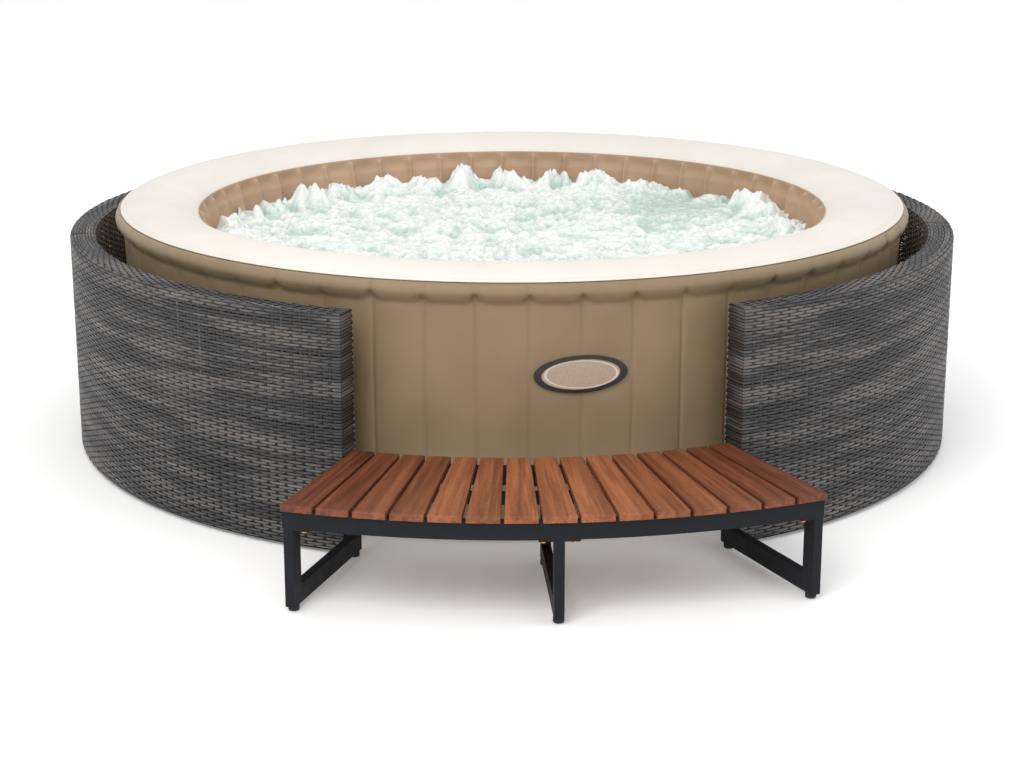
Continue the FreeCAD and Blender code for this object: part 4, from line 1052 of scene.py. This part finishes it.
# %% Cut and copy
WEB_HALF_THICK = 0.0006
cut = bpy.data.curves.new("web_cut", "CURVE")
cut.dimensions = "2D"
cut.fill_mode = "BOTH"
cut.extrude = WEB_HALF_THICK
for loop in loops:
    spline = cut.splines.new("POLY")
    spline.points.add(len(loop) - 1)
    flat = np.column_stack([loop, np.zeros(len(loop)), np.ones(len(loop))])
    spline.points.foreach_set("co", flat.astype(np.float32).ravel())
    spline.use_cyclic_u = True
cut_object = bpy.data.objects.new("web_cut", cut)
one_web = bpy.data.meshes.new_from_object(cut_object)
web_points = np.array([v.co[:] for v in one_web.vertices])
web_faces = [list(polygon.vertices) for polygon in one_web.polygons]
bpy.data.objects.remove(cut_object)
points, faces = [], []
for web in range(WEB_COUNT):
    azimuth = math.radians(WEB_PHASE + web * CELL_ARC)
    out = np.array([math.sin(azimuth), -math.cos(azimuth)])
    side = np.array([math.cos(azimuth), math.sin(azimuth)])
    turned = web_points[:, :1] * out + web_points[:, 2:] * side
    faces += [[index + web * len(web_points) for index in face] for face in web_faces]
    points.append(np.column_stack([turned, web_points[:, 1]]))
web_mesh = bpy.data.meshes.new("webs")
web_mesh.from_pydata(np.concatenate(points).tolist(), [], faces)
webs = link(web_mesh, "webs", web_fabric)
stand_for(webs, "tub", "web_fabric", "wall_webs")
print("webs", WEB_COUNT, "faces", len(web_mesh.polygons))

# %% [markdown]
# ## The floor sheet
# The floor is one disc of fabric, pulled flat, with a raised weld where the bath wall stands on
# it. It is a grid of rings like the walls, only lying down.

# %% Floor sheet
FLOOR_SHEET = 0.0012
UNDERSIDE = 0.0010             # height of the sheet over the ground
floor_rings = np.concatenate([np.linspace(0.002, BATH_RADIUS - 0.03, 40),
                              BATH_RADIUS + np.linspace(-0.022, 0.022, 12),
                              np.linspace(BATH_RADIUS + 0.03, FLOOR_RADIUS - 0.001, 8)])
floor_columns = np.linspace(0, 360, 216, endpoint=False)
weld = 0.0006 * bell(floor_rings - BATH_RADIUS, 0.006)
top_height = (UNDERSIDE + FLOOR_SHEET + weld)[:, None] * np.ones((1, len(floor_columns)))
bottom_height = np.full_like(top_height, UNDERSIDE)
floor_radius = np.concatenate([floor_rings, floor_rings[::-1]])[:, None]
floor_points = place(floor_radius, floor_columns[None], np.concatenate([top_height, bottom_height[::-1]]))
floor_faces = grid_faces(len(floor_radius), len(floor_columns), wrap_columns=True, wrap_rows=True)
floor_sheet = link(mesh_of("floor_sheet", floor_points.reshape(-1, 3), floor_faces), "floor_sheet",
                   floor_fabric)
stand_for(floor_sheet, "tub", "floor_fabric", "tub_floor")
print("floor sheet", len(floor_faces), "quads")

# %% [markdown]
# ## Churning water
# Air comes up through the holes of the bubble channel, all round the foot of the bath wall. It
# lifts the water in white mounds along the edge, and the middle is broken into short steep waves
# with streaks of foam. The surface is one grid of rings, and its waves are sums of noises. Waves
# are read at bent coordinates, so that their crests wander.

# %% Water grid and waves
WATER_LEVEL = 0.522
WATER_DEPTH = 0.10             # the piece is a slab, closed below
ring_shares = np.concatenate([np.linspace(0.002, 0.62, 52, endpoint=False), np.linspace(0.62, 1.0, 78)])
water_columns = np.linspace(-180, 180, 720, endpoint=False)
share, column = np.meshgrid(ring_shares, water_columns, indexing="ij")
water_x = share * BATH_RADIUS * np.sin(np.radians(column))
water_y = -share * BATH_RADIUS * np.cos(np.radians(column))


def ridges(x, y, scale, seed, octaves):
    """Sharp crested noise, about 0 to 1."""
    flat = np.stack([x.ravel() * scale, y.ravel() * scale, np.full(x.size, seed)], axis=1)
    values = [noise.fractal(Vector(p), 0.9, 2.1, octaves) for p in flat.tolist()]
    return (1 - np.abs(np.array(values).reshape(x.shape)) * 1.6).clip(0, 1)


bend_x = water_x + 0.03 * noise_field(water_x * 7, water_y * 7, 1.5, 2)
bend_y = water_y + 0.03 * noise_field(water_x * 7, water_y * 7, 8.5, 2)
swell_noise = noise_field(water_x * 3.2, water_y * 3.2, 0.3, 2)
chop = ridges(bend_x, bend_y, 8.0, 3.1, 3)
ripples = ridges(bend_x, bend_y, 26.0, 7.7, 3)
froth = noise_field(bend_x * 70, bend_y * 70, 2.2, 2)
print("water grid", water_x.shape, "waves from %.2f to %.2f" % (chop.min(), chop.max()))

# %% [markdown]
# ## Mounds over the air holes
# Each jet of air throws up a mound of several lumps, because a single smooth bump looks like a
# cone. Some jets are stronger than others, and one patch towards the right rear stays calm. The
# heights say where the foam is as well, so that white always sits on the crests.

# %% Mounds and foam
JET_COUNT = 36
LUMPS = 5
JET_RADIUS = BATH_RADIUS - 0.052
STRONG_JETS = np.array([-170, -132, -62, 48, 114, 156, 171])     # azimuths where more air comes up
CALM_PLACE, CALM_SIZE = (0.52, 0.42), 0.18
LONG_WAVE, CHOP_HEIGHT, RIPPLE_HEIGHT = 0.008, 0.022, 0.011      # metres
FROTH_HEIGHT, MOUND_HEIGHT = 0.0036, 0.080
feed_azimuth = spot_of("air_port")[0]
rng = np.random.default_rng(12)
mounds = np.zeros_like(water_x)
for jet in range(JET_COUNT):
    azimuth = feed_azimuth + (jet + 0.5) * 360 / JET_COUNT + rng.normal(0, 1.2)
    centre = place(JET_RADIUS + rng.normal(0, 0.008), azimuth, 0.0)
    side = np.abs((azimuth - STRONG_JETS + 180) % 360 - 180).min()
    strength = rng.uniform(0.3, 0.62) + 0.5 * math.exp(-(side / 6) ** 2)
    for lump in range(LUMPS):
        middle = centre[:2] + rng.normal(0, 0.026, 2) * (lump > 0)
        size = rng.uniform(0.018, 0.034) if lump else rng.uniform(0.036, 0.056)
        height = strength * (rng.uniform(0.55, 1.05) if lump else 0.75)
        away = np.hypot(water_x - middle[0], water_y - middle[1])
        mounds = np.maximum(mounds, height * np.exp(-(away / size) ** 2.4))
calm = bell(np.hypot(water_x - CALM_PLACE[0], water_y - CALM_PLACE[1]), CALM_SIZE)
broken = 0.72 + 0.30 * ripples + 0.16 * froth
water_height = (WATER_LEVEL + LONG_WAVE * swell_noise + CHOP_HEIGHT * (chop - 0.55) * (1 - 0.7 * calm)
                + RIPPLE_HEIGHT * (ripples - 0.5) * (1 - 0.8 * calm) + FROTH_HEIGHT * froth * (1 - calm)
                + MOUND_HEIGHT * mounds * broken * (1 - 0.8 * calm))
foam = 0.30 + 1.0 * mounds + 0.9 * (chop - 0.5) + 0.6 * (ripples - 0.5) + 0.4 * froth - 0.85 * calm
foam = np.clip(foam, 0, 1)
print("water heights %.3f to %.3f" % (water_height.min(), water_height.max()))

# %% [markdown]
# ## Where the water meets the wall
# Water fills the bath up to its fabric, lobe by lobe, so each column of the grid is stretched until
# its last point lies just inside the skin. Below, a flat underside closes the piece.

# %% Water to the wall
INTO_SKIN = 0.0008             # the edge lies this far in the fabric, so that no gap shows
wall_shown = bath_profile[:, :1] - np.abs(outward_normals(bath_profile)[:, :1]) * bath_swell
wall_levels = bath_profile[::-1, 1]
shown = np.stack([np.interp(water_columns, around, row, period=360) for row in wall_shown])[::-1]
edge = np.array([np.interp(water_height[-1, i], wall_levels, shown[:, i])
                 for i in range(len(water_columns))]) + INTO_SKIN
reach = 1 + smooth(share, 0.8, 1.0) * (edge / BATH_RADIUS - 1)[None]
water_radius = share * BATH_RADIUS * reach
floor_of_slab = WATER_LEVEL - WATER_DEPTH
under = np.full((1, len(water_columns)), floor_of_slab)
low_edge = np.stack([np.interp(floor_of_slab, wall_levels, shown[:, i])
                     for i in range(len(water_columns))])[None] + INTO_SKIN
slab_radius = np.concatenate([water_radius, low_edge, water_radius[:1]])
slab_height = np.concatenate([water_height, under, under])
water_points = place(slab_radius, water_columns[None], slab_height)
water_faces = grid_faces(len(slab_radius), len(water_columns), wrap_columns=True, wrap_rows=True)
print("water quads", len(water_faces))

# %% [markdown]
# ## The water's finish
# Foam is white because it scatters light, and calm water between the crests shows the pale bath
# through it. An opaque ramp from pale green to white does both here: real glass-like water would
# need many more light bounces. The foam value comes from the mesh, and fine noise breaks it up.

# %% Water finish
water_finish, tree, shader = finish_named("churning_water", 0.08, IOR=1.33, Specular_IOR_Level=0.5)
foam_value = add(tree, "Attribute", {"attribute_name": "foam"}).outputs["Fac"]
fine_froth = grain(tree, where(tree), 95.0, 4.0, 0.7, 0.6)
speck = grain(tree, where(tree), 330.0, 2.0, 0.6)
foam_mix = weighted(tree, (foam_value, 0.82), (calc(tree, "SUBTRACT", fine_froth, 0.5), 1.5),
                    (calc(tree, "SUBTRACT", speck, 0.5), 0.35))
water_colour = ramp(tree, foam_mix, (0.0, shade(182, 204, 195)), (0.3, shade(211, 225, 219)),
                    (0.5, shade(226, 233, 229)), (0.8, shade(241, 243, 241)))
wavelets = grain(tree, where(tree), 48.0, 3.0, 0.55, 0.5)
relief = weighted(tree, (wavelets, 0.7), (fine_froth, 0.5))
wire(tree, shader, water_colour, bump(tree, relief, 0.006, 0.7),
     gloss(tree, foam_mix, (0.1, 0.04), (0.8, 0.38)))
water = link(mesh_of("water", water_points.reshape(-1, 3), water_faces), "water_surface", water_finish)
foam_layer = water.data.attributes.new("foam", "FLOAT", "POINT")
foam_of_points = np.concatenate([foam.ravel(), np.zeros(2 * len(water_columns))])
foam_layer.data.foreach_set("value", foam_of_points.astype(np.float32))
stand_for(water, "tub", "bath_fabric")
print("foam from %.2f to %.2f" % (foam.min(), foam.max()))

# %% [markdown]
# ## Hardwood slats
# The step's slats are an oiled reddish hardwood, sawn so that the grain runs from front to back.
# Each slat comes from another board, so each gets its own tint and its own piece of the grain
# pattern. Each slat's coordinates are turned to the front, where the grain then lies along Y.

# %% Slat finish
PATTERN_STEP = (0.37, 1.91, 0.53)      # from one slat's piece of the pattern to the next
WOOD_TONES = (((70, 34, 20), (106, 57, 31)), ((100, 53, 33), (142, 83, 50)),
              ((126, 74, 48), (171, 107, 68)))     # cool and warm: dark, middle and light grain


def slat_finish(number, azimuth, warmth):
    """Oiled hardwood with the grain along one slat."""
    material, tree, shader = finish_named("hardwood_slat_%02d" % number, Specular_IOR_Level=0.3)
    moved = add(tree, "VectorMath", {"operation": "ADD"}, _0=turned_to_front(tree, azimuth),
                _1=[number * part for part in PATTERN_STEP]).outputs[0]

    def lengthwise(scale, *settings):
        """Noise that is stretched along the slat."""
        squeezed = add(tree, "VectorMath", {"operation": "MULTIPLY"}, _0=moved, _1=scale)
        return grain(tree, squeezed.outputs[0], 1.0, *settings)

    board = lengthwise((16, 1.1, 16), 2.0, 0.5, 0.8)
    bands = lengthwise((75, 2.4, 75), 3.0, 0.6, 0.4)
    fibres = lengthwise((420, 9, 420), 3.0, 0.7)
    pores = lengthwise((1100, 34, 1100), 1.0)
    tone = weighted(tree, (board, 0.35), (bands, 0.40), (fibres, 0.25))
    low, middle, high = ([a + (b - a) * warmth for a, b in zip(cool, warm)] for cool, warm in WOOD_TONES)
    wood = ramp(tree, tone, (0.38, shade(*low)), (0.5, shade(*middle)), (0.62, shade(*high)))
    pore_mask = ramp(tree, pores, (0.30, (0.35, 0.28, 0.25)), (0.42, (1.0, 1.0, 1.0)))
    darkened = add(tree, "Mix", {"data_type": "RGBA", "blend_type": "MULTIPLY"}, _0=0.55, _6=wood,
                   _7=pore_mask)
    wire(tree, shader, darkened.outputs[2], bump(tree, calc(tree, "ADD", fibres, pores), 0.0004, 0.7),
         gloss(tree, fibres, (0.3, 0.40), (0.7, 0.56)))
    return material


SLAT_WARMTH = (0.05, 0.2, 0.3, 0.55, 0.75, 0.65, 0.9, 1.0, 0.85, 0.95, 0.7, 0.6, 0.45, 0.25, 0.1)
for number, warmth in enumerate(SLAT_WARMTH, 1):
    slat = "step_slat_%02d" % number
    dress(slat, slat_finish(number, spot_of(slat)[0], warmth))
print("slats", len(SLAT_WARMTH))

# %% [markdown]
# ## Steel, brass and rubber
# The step's frame and legs are square tube with a charcoal powder coat, which dries with a fine
# orange-peel surface. The surround's hidden frames have the same coat. Bolts are brass, screws are
# zinc plated, and the feet are black moulded rubber.

# %% Hard finishes
def speckled(name, low, high, roughness, scale, relief, metallic=0.0, specular=0.5):
    """Two close tones and a fine relief, for coats, mouldings and plated metal."""
    material, tree, shader = finish_named(name, roughness, Metallic=metallic,
                                          Specular_IOR_Level=specular)
    cloud = grain(tree, where(tree), scale * 0.06, 3.0, 0.6)
    fine = grain(tree, where(tree), scale, 2.0, 0.6)
    tone = ramp(tree, weighted(tree, (cloud, 0.5), (fine, 0.5)), (0.38, low), (0.62, high))
    wire(tree, shader, tone, bump(tree, fine, relief, 0.5),
         gloss(tree, cloud, (0.35, roughness - 0.06), (0.65, roughness + 0.08)))
    return material


PORTS = ("inlet_port", "outlet_port", "air_port")
FITTINGS = PORTS + ("filter_housing", "filter_cap", "outlet_strainer", "inflation_valve_body",
                    "inflation_valve_cap", "drain_body", "drain_cap")
NUTS = ("inlet_union_nut", "outlet_union_nut", "air_union_nut")
STEEL = [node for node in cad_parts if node.startswith(("step_frame", "step_leg_", "panel_frame_"))]
FEET = [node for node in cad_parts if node.startswith(("step_foot_", "panel_glides"))]
HARD_FINISHES = (       # nodes, name, dark and light tone, roughness, noise scale, relief, extras
    (STEEL, "charcoal_powder_coat", (19, 20, 24), (28, 30, 35), 0.55, 700, 0.0003, {"specular": 0.18}),
    (FEET, "black_rubber", (22, 22, 23), (34, 34, 35), 0.7, 500, 0.0003, {}),
    (("leg_bolts",), "bolt_brass", (176, 112, 62), (214, 150, 92), 0.32, 900, 0.0002, {"metallic": 1.0}),
    (("slat_screws", "panel_joining_bolts"), "zinc_plate", (168, 170, 172), (200, 202, 204), 0.34, 900,
     0.0002, {"metallic": 1.0}),
    (FITTINGS, "moulded_grey_plastic", (196, 197, 196), (212, 212, 210), 0.38, 450, 0.0002, {}),
    (NUTS, "moulded_dark_plastic", (58, 60, 64), (74, 76, 80), 0.4, 450, 0.0002, {}),
    (("filter_cartridge",), "filter_cloth", (214, 224, 232), (236, 240, 244), 0.8, 800, 0.0005, {}),
    (("bubble_channel",), "channel_film", (190, 176, 152), (206, 192, 168), 0.45, 600, 0.0003, {}),
    (("badge_ring",), "badge_black", (20, 19, 18), (30, 28, 26), 0.22, 300, 0.00008, {}))
for nodes, name, low, high, roughness, scale, relief, extras in HARD_FINISHES:
    finish = speckled(name, shade(*low), shade(*high), roughness, scale, relief, **extras)
    for node in nodes:
        dress(node, finish)
    print(name, "on", len(nodes), "nodes")

# %% [markdown]
# ## The badge
# The badge is a gloss black oval ring round a warm satin plate. The plate stays blank, with a
# lighter line near its edge, which an ellipse worked out from its own coordinates draws.

# %% Badge plate finish
badge_azimuth, badge_height, plate_half_width, plate_half_height = spot_of("badge_plate")
plate_finish, tree, shader = finish_named("badge_plate_satin", 0.36)
parts = add(tree, "SeparateXYZ", Vector=turned_to_front(tree, badge_azimuth))
side = calc(tree, "DIVIDE", parts.outputs[0], plate_half_width)
rise = calc(tree, "DIVIDE", calc(tree, "SUBTRACT", parts.outputs[2], badge_height), plate_half_height)
oval = calc(tree, "SQRT", weighted(tree, (side, side), (rise, rise)))
satin = grain(tree, where(tree), 260.0, 2.0)
plate_tone = ramp(tree, satin, (0.35, shade(166, 147, 130)), (0.65, shade(178, 159, 142)))
line = ramp(tree, oval, (0.86, (0, 0, 0)), (0.885, (1, 1, 1)), (0.915, (1, 1, 1)), (0.94, (0, 0, 0)))
lined = add(tree, "Mix", {"data_type": "RGBA"}, _0=line, _6=plate_tone, _7=(*shade(216, 202, 190), 1))
wire(tree, shader, lined.outputs[2], bump(tree, satin, 0.0002, 0.5))
dress("badge_plate", plate_finish)
print("badge at %.1f degrees, %.3f m" % (badge_azimuth, badge_height))
